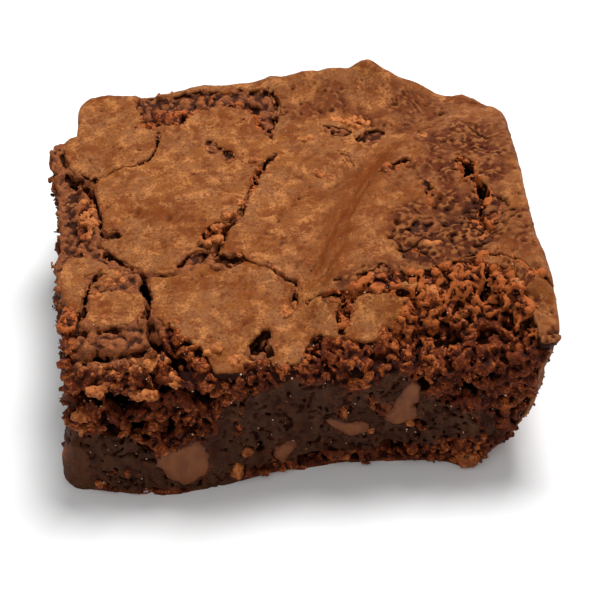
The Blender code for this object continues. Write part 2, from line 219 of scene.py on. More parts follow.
# Crust plates left of the left crack: x, y, half length, half width, turn.
LEFT_PLATES = [
    (-35.6, -16.0, 2.5, 7.6, 8.0),
    (-34.2, -11.4, 3.6, 2.2, 0.0),
    (-29.3, -22.4, 4.9, 4.4, 4.0),
    (-31.4, -15.6, 1.2, 1.0, 30.0),
    (-29.4, -13.6, 1.7, 1.2, -30.0),
]

# Holes in the crumb: x, y, z, then the reach on each axis.
HOLLOWS = [
    (-28.0, -34.6, 16.8, 2.4, 3.0, 1.7),
    (-33.6, -35.8, 17.6, 1.3, 1.8, 1.5),
    (-26.2, -36.0, 12.6, 1.9, 3.4, 1.3),
    (-21.4, -36.6, 12.0, 2.3, 3.4, 1.0),
    (-18.9, -37.0, 12.2, 1.5, 3.0, 0.8),
    (-25.1, -37.6, 9.7, 1.2, 2.4, 1.4),
    (-21.6, -34.2, 18.6, 1.2, 2.8, 1.0),
    (-17.6, -35.4, 19.0, 2.4, 3.0, 1.1),
    (-15.0, -35.6, 17.6, 1.9, 2.8, 0.9),
    (-12.6, -36.4, 16.9, 1.2, 2.4, 0.7),
    (18.2, -30.0, 24.4, 2.2, 1.3, 2.8),
    (21.6, -29.8, 24.2, 2.5, 1.3, 2.8),
    (25.6, -30.8, 23.8, 2.4, 1.5, 2.8),
    (29.1, -22.4, 26.6, 0.7, 1.6, 2.4),
    (28.4, -24.4, 25.6, 0.8, 0.8, 2.4),
    (30.4, -26.6, 25.2, 0.8, 0.9, 2.2),
    (34.3, -31.4, 24.9, 1.3, 0.9, 1.8),
    (29.4, -36.0, 23.6, 0.7, 1.6, 0.8),
    (17.0, -35.8, 21.4, 0.8, 2.6, 1.8),
    (15.4, -36.3, 23.2, 1.3, 2.0, 0.8),
    (11.2, -34.6, 23.0, 2.6, 1.6, 0.6),
    (7.8, -35.4, 20.0, 1.3, 2.0, 0.8),
    (-0.6, -36.2, 21.2, 1.4, 2.0, 0.7),
    (27.9, -35.6, 21.6, 1.0, 2.4, 1.3),
    (28.2, -35.4, 18.4, 0.9, 2.4, 1.4),
    (25.0, -36.2, 20.4, 0.7, 2.4, 1.6),
    (22.0, -36.2, 20.6, 0.6, 2.2, 1.2),
    (18.2, -36.2, 17.6, 1.3, 2.4, 1.0),
    (20.6, -36.3, 16.4, 1.2, 2.2, 0.7),
    (24.7, -36.2, 16.6, 1.2, 2.2, 0.9),
    (12.2, -35.8, 3.6, 2.6, 1.8, 1.0),
    (1.0, -36.0, 1.8, 2.6, 1.6, 0.9),
    (30.3, -12.8, 27.8, 0.9, 1.4, 2.0),
    (30.7, -19.8, 26.4, 1.2, 0.9, 2.4),
    (25.6, -6.2, 28.0, 0.8, 0.8, 1.4),
    (26.5, 20.3, 24.1, 0.7, 1.1, 1.4),
]

# Steps down to the front in the broken front-left block: y where each starts, y where it ends, drop.
BLOCK_STEPS = [(-26.9, -27.3, 0.9), (-31.0, -31.5, 1.2)]
# The steps fade out to the right between these two x.
BLOCK_RIGHT = (-21.0, -23.0)

# Where the front leans back above the fudge: x where the lean starts, where it is full from and to,
# and where it ends; z at its foot and at its top; and how far back it leans.
FRONT_LEANS = [
    ((-38.5, -36.0, -22.0, -16.0), (9.5, 21.5), 2.2),
    ((15.0, 18.0, 34.0, 38.0), (17.0, 27.0), 2.0),
]

# Where the top of the crumb falls towards the front beyond the crust: mm down for each mm out.
CRUMB_FALL = 0.42

# Where the crumb breaks into granules: zones of x, y, half length, half width, turn, strength.
GRANULAR_ZONES = [
    (26.0, -27.0, 13.0, 8.0, 0.0, 1.0),
    (12.0, -22.8, 9.0, 2.0, 5.0, 0.9),
    (6.8, -27.5, 1.6, 4.5, 0.0, 1.0),
    (-28.0, -36.2, 10.0, 3.6, 0.0, 1.0),
    (-17.0, -33.0, 6.0, 4.5, -35.0, 0.9),
    (-1.0, -36.0, 16.0, 2.6, 0.0, 1.0),
    (-35.0, 1.0, 2.0, 8.0, 0.0, 0.5),
    (-36.5, -28.0, 2.5, 7.0, 0.0, 0.8),
    (-25.0, 27.0, 4.0, 2.6, 0.0, 1.0),
    (-6.5, 25.0, 2.6, 4.5, 0.0, 0.5),
    (-21.0, 30.0, 5.0, 2.2, -20.0, 0.7),
    (-14.5, 33.0, 3.0, 1.2, 0.0, 0.5),
    (-9.0, 30.5, 2.5, 1.5, -30.0, 0.5),
    (-13.5, -5.0, 3.0, 3.0, 0.0, 0.7),
    (-6.0, 9.0, 3.0, 4.0, 0.0, 0.5),
    (17.5, 5.8, 3.2, 2.2, 0.0, 0.35),
    (21.3, -3.0, 2.4, 4.0, 0.0, 0.35),
    (20.8, -15.0, 3.4, 1.6, 0.0, 0.6),
    (30.0, -2.0, 3.6, 14.0, 0.0, 0.6),
    (24.0, -17.0, 8.0, 3.0, 0.0, 0.8),
]

# Where the crust is rough and dark: zones in the same form.
ROUGH_ZONES = [
    (28.0, 4.0, 7.5, 25.0, 0.0, 1.0),
    (35.0, -28.0, 6.0, 12.0, 0.0, 0.85),
    (34.0, 8.0, 7.0, 30.0, 0.0, 0.55),
    (20.0, 27.0, 10.0, 8.0, -20.0, 0.7),
    (21.5, -12.0, 7.0, 9.0, 10.0, 0.9),
    (18.5, 4.0, 3.5, 7.0, -20.0, 0.6),
    (12.0, -21.5, 9.0, 2.4, 5.0, 0.9),
    (-33.0, 21.0, 5.0, 9.0, 10.0, 0.12),
    (5.0, 30.0, 10.0, 5.0, 10.0, 0.6),
    (-20.0, 23.0, 4.0, 3.0, 0.0, 0.25),
    (8.0, 6.0, 3.0, 6.0, -30.0, 0.25),
]

# The dense fudge of the cut sides: its upper edge over the front, and its lower edge, as (x, z).
FUDGE_TOP = [(-40, 13), (-31, 13.5), (-27, 12), (-23.5, 9.5), (-15, 10.5), (-13, 14), (-8, 17), (-2, 19.5),
             (8, 19.3), (12, 20.2), (15.5, 19.6), (18, 16), (24, 14.5), (28, 12), (30, 7), (42, 5)]
FUDGE_BOTTOM = [(-40, 0.5), (-20, 0.5), (-8, 2.5), (0, 3.4), (8, 4.2), (16, 6), (20, 5.4), (27, 5), (42, 7)]
LEFT_FUDGE_TOP = 12.5

# Troughs where the crust is more golden, as zones, and their depth.
TROUGH_DEPTH = 0.45
TROUGHS = [
    (-22.5, 0.2, 10.0, 1.7, -21.0, 0.9),
    (-18.5, -8.6, 5.5, 1.3, -10.0, 0.6),
    (-29.0, 8.0, 3.0, 1.2, -30.0, 0.5),
    (-17.0, -19.0, 4.5, 2.2, 20.0, 0.6),
    (-8.0, -20.6, 3.6, 1.4, -10.0, 0.6),
    (-9.0, -28.0, 4.0, 1.6, -20.0, 0.4),
    (1.0, 3.0, 1.8, 9.0, -22.0, 0.6),
    (-2.0, -9.0, 4.5, 1.2, -25.0, 0.7),
    (7.4, -28.4, 1.6, 2.6, 0.0, 0.8),
]

# Flakes that stand out of the top: x, y, length, width, height, turn, rise above the surface, tone.
FLAKES = [
    (-30.4, -33.2, 4.2, 1.9, 1.3, -10.0, 0.3, 0.55),
    (-27.5, -33.4, 3.0, 1.5, 1.1, 15.0, 0.2, 0.65),
    (-25.0, -33.0, 2.6, 1.6, 1.2, -20.0, 0.3, 0.6),
    (-22.6, -32.4, 3.0, 2.2, 1.5, 20.0, 0.4, 0.7),
    (-19.8, -34.6, 2.6, 1.8, 1.2, -35.0, 0.3, 0.75),
    (-31.2, -35.6, 3.2, 2.2, 1.6, 30.0, 0.3, 0.5),
    (-24.6, -36.0, 4.0, 1.9, 1.4, -15.0, 0.4, 0.5),
    (-30.6, -15.8, 2.4, 1.8, 0.8, 30.0, 0.3, 0.55),
    (-32.2, -19.0, 1.6, 1.2, 0.7, 10.0, 0.3, 0.5),
    (-28.4, -14.2, 2.0, 1.2, 0.6, -35.0, 0.3, 0.55),
    (-19.4, -26.8, 1.6, 0.9, 0.6, -40.0, 0.1, 0.4),
    (-13.6, -32.0, 1.8, 1.4, 0.8, 10.0, 0.3, 0.7),
    (-10.4, -34.6, 1.9, 1.3, 0.8, 20.0, 0.3, 0.7),
    (-1.6, -22.6, 1.5, 2.2, 0.8, -30.0, 0.3, 0.6),
    (-2.3, -25.4, 1.3, 1.8, 0.8, 20.0, 0.3, 0.55),
    (4.6, 10.0, 3.4, 1.2, 0.5, -52.0, 0.1, 0.5),
    (6.0, 8.2, 1.4, 0.9, 0.4, -10.0, 0.1, 0.4),
    (8.7, 23.9, 3.2, 1.1, 1.0, -15.0, 0.5, 0.9),
    (10.7, 22.4, 3.0, 1.1, 1.0, -20.0, 0.6, 0.9),
    (12.8, 23.4, 2.6, 1.0, 0.9, -30.0, 0.5, 0.85),
    (11.0, 24.6, 2.2, 1.0, 0.8, 10.0, 0.4, 0.8),
    (3.0, 19.7, 2.4, 1.3, 0.9, 15.0, 0.3, 0.7),
    (22.6, 14.4, 1.8, 1.3, 0.8, 0.0, 0.3, 0.8),
    (30.1, -10.9, 2.2, 1.4, 0.9, 10.0, 0.3, 0.8),
    (21.8, -15.1, 2.6, 0.9, 0.8, 10.0, 0.4, 0.85),
    (20.4, -14.6, 1.2, 0.9, 0.7, 40.0, 0.4, 0.8),
    (19.9, -23.8, 2.2, 1.5, 1.0, 0.0, 0.4, 0.8),
    (24.8, -25.8, 2.6, 1.8, 1.2, 25.0, 0.4, 0.6),
    (33.4, -24.6, 2.6, 1.8, 1.0, -40.0, 0.3, 0.5),
    (-34.2, 1.8, 2.2, 1.5, 1.0, 30.0, 0.3, 0.75),
    (-33.8, -0.8, 2.4, 1.8, 1.0, -20.0, 0.3, 0.55),
    (-34.0, -3.4, 1.8, 1.4, 0.9, 10.0, 0.3, 0.5),
    (-35.6, 6.0, 2.0, 1.5, 1.0, 60.0, 0.3, 0.8),
    (-13.0, -4.4, 1.8, 1.3, 0.9, 30.0, 0.4, 0.5),
    (-11.0, -2.6, 1.6, 1.2, 0.8, -30.0, 0.4, 0.55),
    (-13.8, -8.0, 1.8, 1.2, 0.8, 10.0, 0.4, 0.6),
    (-8.9, 1.4, 1.4, 1.0, 0.7, 60.0, 0.3, 0.5),
    (-5.8, 13.8, 1.8, 1.0, 0.6, 20.0, 0.3, 0.45),
]

# Lumps that stand out of the front: x, z, radius, tone.
FRONT_LUMPS = [
    (-11.6, 2.6, 1.1, 0.45),
    (-9.8, 6.0, 0.7, 0.3),
    (-35.0, 14.8, 0.8, 0.4),
    (-34.6, 12.4, 0.7, 0.35),
    (-33.0, 1.4, 0.6, 0.3),
    (-23.8, 11.6, 0.6, 0.4),
    (-22.6, 8.8, 0.6, 0.4),
    (9.9, 7.4, 0.5, 0.35),
    (16.0, 9.2, 0.5, 0.45),
    (24.8, 1.6, 1.2, 0.2),
]

# A flap of smooth skin on the front, low at the left corner, as (x, z), and how far it stands out.
SKIN_FLAP = [(-42, 9.0), (-37.5, 8.8), (-35.7, 9.7), (-34.5, 8.4), (-34.2, 4.3), (-33.6, 1.6), (-34.3, -1),
             (-42, -1)]
FLAP_PROUD = 0.25

# Outlines of the chocolate chips cut through on the front, as (x, z), and on the left, as (y, z).
FRONT_CHIPS = [
    [(-23.6, 8.4), (-21.0, 9.4), (-19.4, 10.0), (-17.9, 10.9), (-16.6, 10.1), (-16.1, 6.8), (-15.8, 4.4),
     (-16.7, 2.7), (-18.3, 1.8), (-20.3, 1.8), (-22.5, 3.9), (-23.8, 6.0)],
    [(-6.4, 4.4), (-5.5, 5.7), (-3.9, 6.4), (-2.3, 6.2), (-1.9, 5.0), (-3.0, 3.4), (-4.5, 2.3), (-6.0, 2.9)],
    [(2.6, 10.6), (3.9, 10.8), (5.6, 10.2), (7.5, 10.0), (9.6, 9.4), (9.3, 8.1), (8.3, 7.0), (6.7, 6.4),
     (5.6, 6.9), (4.6, 8.2), (3.4, 9.1)],
    [(16.0, 18.2), (17.0, 18.0), (17.5, 15.8), (17.4, 13.5), (16.9, 11.0), (16.3, 9.8), (14.9, 8.7),
     (13.2, 8.5), (12.0, 9.8), (12.1, 11.3), (13.1, 13.5), (13.9, 15.4), (14.9, 17.2)],
]
LEFT_CHIPS = [
    [(17.4, 7.4), (18.4, 10.4), (21.0, 11.0), (23.6, 10.2), (24.6, 8.2), (23.2, 5.6), (20.6, 4.9),
     (18.2, 5.6)],
    [(-8.4, 12.2), (-7.6, 15.4), (-5.8, 16.4), (-3.8, 15.6), (-3.4, 12.4), (-4.6, 9.8), (-6.6, 9.6)],
    [(2.6, 5.2), (3.8, 7.4), (6.0, 7.9), (8.2, 6.8), (8.5, 5.0), (6.4, 3.4), (3.8, 3.6)],
]

# A cut chip: how fine it is sculpted, how deep it sits, how proud it stands and how round its edge is;
# then the block it is sculpted in: its margin, how far outside the side it starts, and its depth.
CHIP_CELL = 0.16
CHIP_DEPTH = 2.4
CHIP_PROUD = 0.12
CHIP_ROUND = 0.35
CHIP_MARGIN = 1.0
CHIP_START = 3.5
CHIP_BLOCK = 8.0

# How deep loose crumb is worn away between its granules, and how softly lumps merge.
EROSION = 0.9
MERGE = 0.12

# How far inside their walls cracks and holes are cleared of granules again, and how much thicker the
# crust is along the cut sides, so that no gap opens behind it.
CUT_CLEARED = 0.15
CUT_OVERLAP = 0.7

# Roundings of edges: the rim of the baked sides, the crust along a cut, and the crumb along the front.
RIM_ROUND = 1.6
CUT_ROUND = 0.5
FRONT_ROUND = 2.2

# A height over the top counts a little less as a distance, because the top slopes.
TOP_SLOPE = 0.93

# Noise that makes the forms uneven, as layers of (size, height).
LAYERS = {
    "bends": [(4.0, 0.35), (1.4, 0.20), (0.6, 0.11)],
    "ragged": [(2.2, 0.35), (0.9, 0.24), (0.5, 0.14)],
    "broken": [(3.4, 0.8), (1.3, 0.5)],
    "body": [(5.0, 0.30), (2.0, 0.16)],
    "crust": [(6.5, 0.22), (2.6, 0.09), (1.1, 0.05), (0.5, 0.022)],
    "rough_crust": [(3.2, 0.2), (0.5, 0.07)],
    "side_crust": [(6.0, 1.2), (2.0, 0.6)],
    "patch_floor": [(1.6, 0.14), (0.8, 0.08)],
    "cut_walls": [(1.6, 0.20), (0.8, 0.12)],
    "fudge_edge": [(5.0, 1.0), (1.8, 0.7)],
    "clusters": [(1.5, 0.8), (0.8, 0.5)],
    "chip_rim": [(1.8, 0.22), (0.8, 0.14), (0.4, 0.07)],
    "chip_face": [(3.5, 0.10), (1.2, 0.05), (0.5, 0.02)],
}

# Noise with sharp creases, in the same form.
CREASES = {
    "crust": [(1.7, 0.15), (0.8, 0.11)],
    "sides": [(1.4, 0.14)],
    "crumb": [(1.1, 0.34), (0.6, 0.26)],
    "flakes": [(0.9, 0.24), (0.5, 0.16)],
}

# Granules, lumps and pores in the crumb's surface, and pores in the baked sides: number, least and
# largest radius. Then the number of slits in the fudge, and the radii along them.
GRANULES = (9000, 0.26, 0.6)
LUMPS = {"fine": (1200, 0.22, 0.5), "fudge": (500, 0.2, 0.5)}
PORES = {"fine": (900, 0.22, 0.5), "fudge": (800, 0.2, 0.5)}
SIDE_PORES = (1500, 0.18, 0.5)
SLITS = 420
SLIT_SIZES = (0.24, 0.42)

# Round marks in the crust: number; least radius, spread and power of its random size; depth, and the
# further depth for each mm of radius. A mark with a depth below 0 is a lump.
CRUST_MARKS = {
    "lumps": (450, (0.25, 0.4, 2), (-0.03, -0.22)),
    "pits": (650, (0.16, 0.3, 3), (0.3, 0.6)),
    "pores": (1100, (0.18, 0.4, 4), (0.06, 0.3)),
}

# Loose pieces stuck to the surface: number, least and largest radius, and fineness of their faces.
GRAINS = {
    "grains": (1300, (0.22, 0.46), 2),
    "granules": (1900, (0.15, 0.32), 2),
    "fine_crumbs": (8000, (0.1, 0.24), 1),
    "chip_crumbs": (900, (0.12, 0.36), 1),
    # Pale grains, partly sugar and partly painted glints of light.
    "sugar_glint": (800, (0.08, 0.19), 1),
}

# Small lumps that each flake is built from, and the most triangles for all the flakes.
FLAKE_LUMPS = 9
FLAKE_TRIANGLES = 60000

# Colours as they look in daylight, in 8-bit sRGB.
COLOURS = {
    "crust": (139, 79, 31),
    # Pale tan, also painted as highlight on the rough crust's ridges.
    "crust_light_and_highlight": (184, 118, 64),
    "crust_golden": (116, 54, 11),
    "crust_grey": (142, 89, 49),
    "crust_dark": (100, 49, 19),
    # Deep brown, also painted as shade in the crust's dips and valleys.
    "crust_deep_and_shade": (60, 22, 7),
    "skin": (98, 42, 17),
    "bare": (100, 52, 27),
    # Pale bare crumb, also painted as highlight on the bare crumb's ridges.
    "bare_light_and_highlight": (152, 88, 50),
    # Dark crumb, also painted as shade in the dips of the crumb and the flakes.
    "crumb_dark_and_shade": (50, 16, 5),
    "crumb": (90, 36, 14),
    "crumb_light": (170, 90, 42),
    "fudge": (54, 28, 15),
    "fudge_light": (72, 44, 28),
    "fudge_red": (84, 40, 20),
    # Near black: painted shade in hollows, deep dips, slits and under the crust's edges.
    "shadow": (9, 2, 1),
    "chip": (106, 58, 31),
    "chip_light": (122, 72, 41),
    "flake": (188, 112, 58),
    "flake_dark": (126, 64, 30),
    # Partly sugar, and partly painted glints of light.
    "sugar_glint": (225, 205, 180),
}

# Where part.py places these two chips along the sides in the brownie's own plan.
FRONT_CHIP = ("chip_2", -3.9)
LEFT_CHIP = ("chip_5", 21.0)

# ---------------------------------------------------------------------------------------------
# Camera and light
# ---------------------------------------------------------------------------------------------

CAMERA_ELEVATION = 41.0
CAMERA_ROLL = 3.6
CAMERA_DISTANCE = 0.281
CAMERA_TARGET = (0.3, 0.0, 4.0)
CAMERA_LENS = 95.8
SENSOR = 36.0

# Area lights: place and size in m, and power in W.
LIGHTS = {
    "key": ((0.13, 0.22, 0.6), 0.26, 4.6),
    "fill": ((-0.1, -0.5, 0.5), 0.5, 0.8),
}
LIGHT_TARGET = (0.0, 0.0, 0.015)
SKY_STRENGTH = 0.42
FLOOR_SIZE = 4.0
FLOOR_COLOUR = (0.85, 0.85, 0.85, 1.0)
WHITE = (1.0, 1.0, 1.0, 1.0)


# ---------------------------------------------------------------------------------------------
# Small tools for numbers
# ---------------------------------------------------------------------------------------------


def smooth(low, high, value):
    """Rise from 0 at low to 1 at high, level at both ends."""
    t = np.clip((value - low) / (high - low), 0.0, 1.0)
    return t * t * (3.0 - 2.0 * t)


def round_max(a, b, radius):
    """The larger of two distances, with the edge where they meet rounded."""
    outside = np.hypot(np.maximum(a + radius, 0.0), np.maximum(b + radius, 0.0))
    return outside + np.minimum(np.maximum(a + radius, b + radius), 0.0) - radius


def spline_weights(places, knots):
    """Weights that read a smooth curve through random knots, one row for each place."""
    first = np.clip(np.floor(places).astype(int), 0, knots - 4)
    t = (places - first).astype(np.float32)
    weights = np.zeros((len(places), knots), dtype=np.float32)
    rows = np.arange(len(places))
    weights[rows, first] = (1 - t) ** 3 / 6
    weights[rows, first + 1] = (3 * t**3 - 6 * t**2 + 4) / 6
    weights[rows, first + 2] = (-3 * t**3 + 3 * t**2 + 3 * t + 1) / 6
    weights[rows, first + 3] = t**3 / 6
    return weights


def smooth_noise(rng, axes, size):
    """Smooth random values with a spread of about 1 on a grid; size is a lump's size on each axis."""
    sizes = size if isinstance(size, tuple) else (size,) * len(axes)
    matrices = []
    for axis, lump in zip(axes, sizes):
        places = (axis - axis[0]) / lump
        matrices.append(spline_weights(places, int(places[-1]) + 5))
    values = rng.standard_normal([matrix.shape[1] for matrix in matrices], dtype=np.float32)
    for matrix in reversed(matrices):
        values = np.tensordot(values, matrix, axes=(values.ndim - 1, 1))
        values = np.moveaxis(values, -1, 0)
    return values / values.std()


def layered_noise(rng, axes, layers):
    """The sum of several sizes of smooth noise, given as (size, height)."""
    return sum(height * smooth_noise(rng, axes, size) for size, height in layers)


def creased_noise(rng, axes, layers):
    """The sum of several sizes of sharply creased noise, at least 0, given as (size, height)."""
    return sum(height * np.abs(smooth_noise(rng, axes, size)) for size, height in layers)


def fine_lines(rng, axes, size, width):
    """A network of fine lines: 1 along each line, and 0 away from it."""
    return np.exp(-((smooth_noise(rng, axes, size) / width) ** 2))


# ---------------------------------------------------------------------------------------------
# The plan: maps over x and y
# ---------------------------------------------------------------------------------------------


class Grid:
    """The grid of points that the sculpt is worked out on."""

    def __init__(self, low, high, cell):
        self.cell = cell
        self.low = np.array(low, dtype=np.float32)
        self.axes = [np.arange(a, b, cell, dtype=np.float32) for a, b in zip(low, high)]
        self.x = self.axes[0][:, None, None]
        self.y = self.axes[1][None, :, None]
        self.z = self.axes[2][None, None, :]
        self.plan = self.axes[:2]
        self.plan_x = self.axes[0][:, None]
        self.plan_y = self.axes[1][None, :]

    def read(self, field, points):
        """Values of a field at points, between the grid's points; the field may be a plan map."""
        count = field.ndim
        places = (points[:, :count] - self.low[:count]) / self.cell
        first = np.clip(np.floor(places).astype(int), 0, np.array(field.shape) - 2)
        part = places - first
        total = np.zeros(len(points), dtype=np.float32)
        for corner in np.ndindex(*(2,) * count):
            weight = np.ones(len(points), dtype=np.float32)
            for axis, step in enumerate(corner):
                weight *= part[:, axis] if step else 1.0 - part[:, axis]
            total += weight * field[tuple((first + corner).T)]
        return total


def route_map(x, y, route):
    """Signed distance from a crack's edge, negative inside, for a route of (x, y, width)."""
    nearest = np.full(np.broadcast(x, y).shape, FAR, dtype=np.float32)
    for (x0, y0, w0), (x1, y1, w1) in zip(route, route[1:]):
        run_x, run_y = x1 - x0, y1 - y0
        along = ((x - x0) * run_x + (y - y0) * run_y) / (run_x**2 + run_y**2)
        along = np.clip(along, 0.0, 1.0)
        distance = np.hypot(x - x0 - along * run_x, y - y0 - along * run_y)
        nearest = np.minimum(nearest, distance - (w0 + (w1 - w0) * along) / 2.0)
    return nearest


def patch_map(x, y, patch):
    """Signed distance from an oval patch's edge, negative inside."""
    centre_x, centre_y, half_x, half_y, turn = patch[:5]
    cos, sin = math.cos(math.radians(turn)), math.sin(math.radians(turn))
    across = ((x - centre_x) * cos + (y - centre_y) * sin) / half_x
    along = ((y - centre_y) * cos - (x - centre_x) * sin) / half_y
    return (np.hypot(across, along) - 1.0) * min(half_x, half_y)


def fold_distance(x, y):
    """How far to the right of the fold a point lies."""
    fold_y, fold_x = zip(*FOLD)
    return x - np.interp(y, fold_y, fold_x)


def top_map(x, y):
    """Height of the crust's surface, without its finer relief."""
    height = np.full(np.broadcast(x, y).shape, HEIGHT, dtype=np.float32)
    for centre_x, centre_y, reach_x, reach_y, rise in RISES:
        height += rise * np.exp(-(((x - centre_x) / reach_x) ** 2) - ((y - centre_y) / reach_y) ** 2)
    height += FOLD_RISE * smooth(*FOLD_SLOPE, fold_distance(x, y)) * smooth(*FOLD_FADE, y)
    for start, end, drop in BLOCK_STEPS:
        height -= drop * smooth(start, end, y) * smooth(*BLOCK_RIGHT, x)
    return height


def zone_map(x, y, zones):
    """How strongly soft oval zones act at each point, from 0 to 1."""
    strength = 0.0
    for zone in zones:
        strength = np.maximum(strength, zone[5] * smooth(0.9, -1.6, patch_map(x, y, zone)))
    return strength.astype(np.float32)


def nearest_map(edges):
    """The smallest of several distances at each point, and the depth that goes with it."""
    nearest = np.full(edges[0][0].shape, FAR, dtype=np.float32)
    depth_there = np.zeros_like(nearest)
    for edge, depth in edges:
        depth_there = np.where(edge < nearest, depth, depth_there)
        nearest = np.minimum(nearest, edge)
    return nearest, depth_there


def bare_edges(x, y, ragged):
    """Distances from each bare patch and from the band behind, with their depths."""
    edges = [(patch_map(x, y, patch) + ragged, patch[5]) for patch in BARE_PATCHES]
    return edges + [(outline_map(x, y, BACK_BAND) + ragged, BACK_BAND_DEPTH)]


def crust_edges(x, y, ragged):
    """Distances in from the crust's front edge, and from its left edge or onto the plates left of it."""
    front_x, front_y = zip(*CRUST_FRONT)
    front = (y - np.interp(x, front_x, front_y)) * 0.8 + ragged
    left_route = CRACKS["left_back"][1][:-1] + CRACKS["left"][1][:BOUNDING_POINTS]
    left_x, left_y, _ = zip(*left_route[::-1])
    east = (x - np.interp(y, left_y, left_x)) * 0.8 + ragged * 0.6
    plates = -np.min([patch_map(x, y, plate) for plate in LEFT_PLATES], axis=0) + ragged * 0.6
    return front, np.maximum(east, plates)


def golden_map(x, y, troughs):
    """Where the crust is golden: just past the fold, and in the troughs."""
    past_fold = fold_distance(x, y)
    golden = np.exp(-(((past_fold - 3.0) / 4.2) ** 2)) * smooth(-24.0, -16.0, y) * smooth(22.0, 12.0, y)
    return np.maximum(golden, troughs).astype(np.float32)


def make_plan(grid, rng):
    """Every map of the top: heights, cracks, bare patches and where there is crust."""
    plan = {}
    x, y = grid.plan_x, grid.plan_y
    bent_x = x + layered_noise(rng, grid.plan, LAYERS["bends"])
    bent_y = y + layered_noise(rng, grid.plan, LAYERS["bends"])
    plan["top"] = top_map(x, y)
    plan["granular"] = zone_map(bent_x, bent_y, GRANULAR_ZONES)
    broken = smooth(-1.3, 0.5, layered_noise(rng, grid.plan, LAYERS["broken"]))
    plan["rough"] = zone_map(bent_x, bent_y, ROUGH_ZONES) * (0.15 + 0.85 * broken)
    routes = [(route_map(bent_x, bent_y, route), depth) for depth, route in CRACKS.values()]
    plan["crack"], plan["crack_depth"] = nearest_map(routes)
    ragged = layered_noise(rng, grid.plan, LAYERS["ragged"])
    plan["bare"], plan["bare_depth"] = nearest_map(bare_edges(bent_x, bent_y, ragged))
    front, left = crust_edges(bent_x, bent_y, ragged)
    plan["crust"] = np.minimum.reduce([left, front, plan["crack"], plan["bare"]]).astype(np.float32)
    before_crust = smooth(0.3, -0.5, front) * smooth(-21.5, -19.5, x)
    plan["granular"] = np.maximum(plan["granular"], before_crust).astype(np.float32)
    plan["top"] -= CRUMB_FALL * np.clip(-front, 0.0, 6.0) * smooth(-24.0, -20.0, x)
    troughs = zone_map(bent_x, bent_y, TROUGHS)
    plan["golden"] = golden_map(x, y, troughs)
    plan["top"] -= TROUGH_DEPTH * troughs
    plan["relief"] = crust_relief(grid, plan, rng)
    return plan


# ---------------------------------------------------------------------------------------------
# The body: fields over x, y and z
# ---------------------------------------------------------------------------------------------


def right_side(grid, drop, under_rim):
    """Distance out of the right side: baked, flared at the front and curved in to the base."""
    near_front = smooth(*NEAR_FRONT, -grid.y)
    right_step = RIGHT_STEP * near_front * smooth(*STEP_BAND, drop)
    right_undercut = (RIGHT_UNDERCUT - near_front) * drop ** (UNDERCUT_POWER + 0.9 * near_front)
    flare = RIGHT_FLARE * smooth(*FLARE_BAND, -grid.y)
    return grid.x - (HALF_WIDTH + flare - right_undercut - under_rim - right_step)


def left_side(grid, drop):
    """Distance out of the left side: cut, and swollen at its back half."""
    out = np.interp(grid.axes[1], *zip(*LEFT_OUT))[None, :, None]
    out = np.maximum(out, 0.0) + np.minimum(out, 0.0) * smooth(*LEFT_IN_BAND, grid.z)
    foot = LEFT_FOOT * smooth(*FOOT_BAND, -grid.y) * drop
    return -grid.x - (HALF_WIDTH + out + foot + LEFT_SLOPE * drop)


def side_distances(grid):
    """Distances out of the right, left, back and front sides, negative inside."""
    drop = np.clip(1.0 - grid.z / HEIGHT, 0.0, 1.0)
    under_rim = RIM_DEPTH * smooth(*RIM_BAND, drop)
    bulge = sum(out * np.exp(-(((grid.x - x) / reach) ** 2)) for x, reach, out in BACK_BULGES)
    back = grid.y - (HALF_DEPTH + bulge - BACK_UNDERCUT * drop**UNDERCUT_POWER - under_rim)
    front_swell = sum(out * drop * np.exp(-(((grid.x - x) / reach) ** 2)) for x, reach, out in FRONT_SWELLS)
    front = -grid.y - (HALF_DEPTH + front_swell - front_lean(grid))
    return right_side(grid, drop, under_rim), left_side(grid, drop), back, front


def front_lean(grid):
    """How far the broken front leans back above the dense fudge."""
    lean = 0.0
    for (left, full_left, full_right, right), (low, high), reach in FRONT_LEANS:
        across = smooth(left, full_left, grid.x) * smooth(right, full_right, grid.x)
        lean = lean + reach * across * np.clip((grid.z - low) / (high - low), 0.0, 1.2)
    return lean


def join_sides(right, left, back, front):
    """The four sides with their rounded corners."""
    return np.maximum.reduce([
        round_max(right, back, CORNERS["back_right"]),
        round_max(right, front, CORNERS["front_right"]),
        round_max(left, back, CORNERS["back_left"]),
        round_max(left, front, CORNERS["front_left"]),
    ])


def crust_relief(grid, plan, rng):
    """The crust's fine relief: waves, wrinkles along the fold, curled edges, lumps and open pores."""
    rough = plan["rough"]
    relief = layered_noise(rng, grid.plan, LAYERS["crust"])
    creased = creased_noise(rng, grid.plan, CREASES["crust"])
    relief += rough * (creased - 0.2 + layered_noise(rng, grid.plan, LAYERS["rough_crust"]))
    coarse_cracks = fine_lines(rng, grid.plan, 3.0, 0.09)
    fine_cracks = fine_lines(rng, grid.plan, 1.5, 0.13)
    relief -= 0.6 * rough * coarse_cracks * smooth(-0.4, 0.3, smooth_noise(rng, grid.plan, 4.0))
    relief -= 0.28 * rough * fine_cracks * smooth(-0.2, 0.6, smooth_noise(rng, grid.plan, 3.0))
    relief += fold_wrinkles(grid, rng) * (0.06 + 0.24 * plan["golden"])
    inside = np.maximum(plan["crust"], 0.0)
    relief += 0.14 * np.exp(-inside / 1.2) - 0.16 * np.exp(-((inside / 0.2) ** 2))
    relief -= 0.3 * rough
    mark_crust(grid, relief, rough, rng)
    return relief.astype(np.float32)


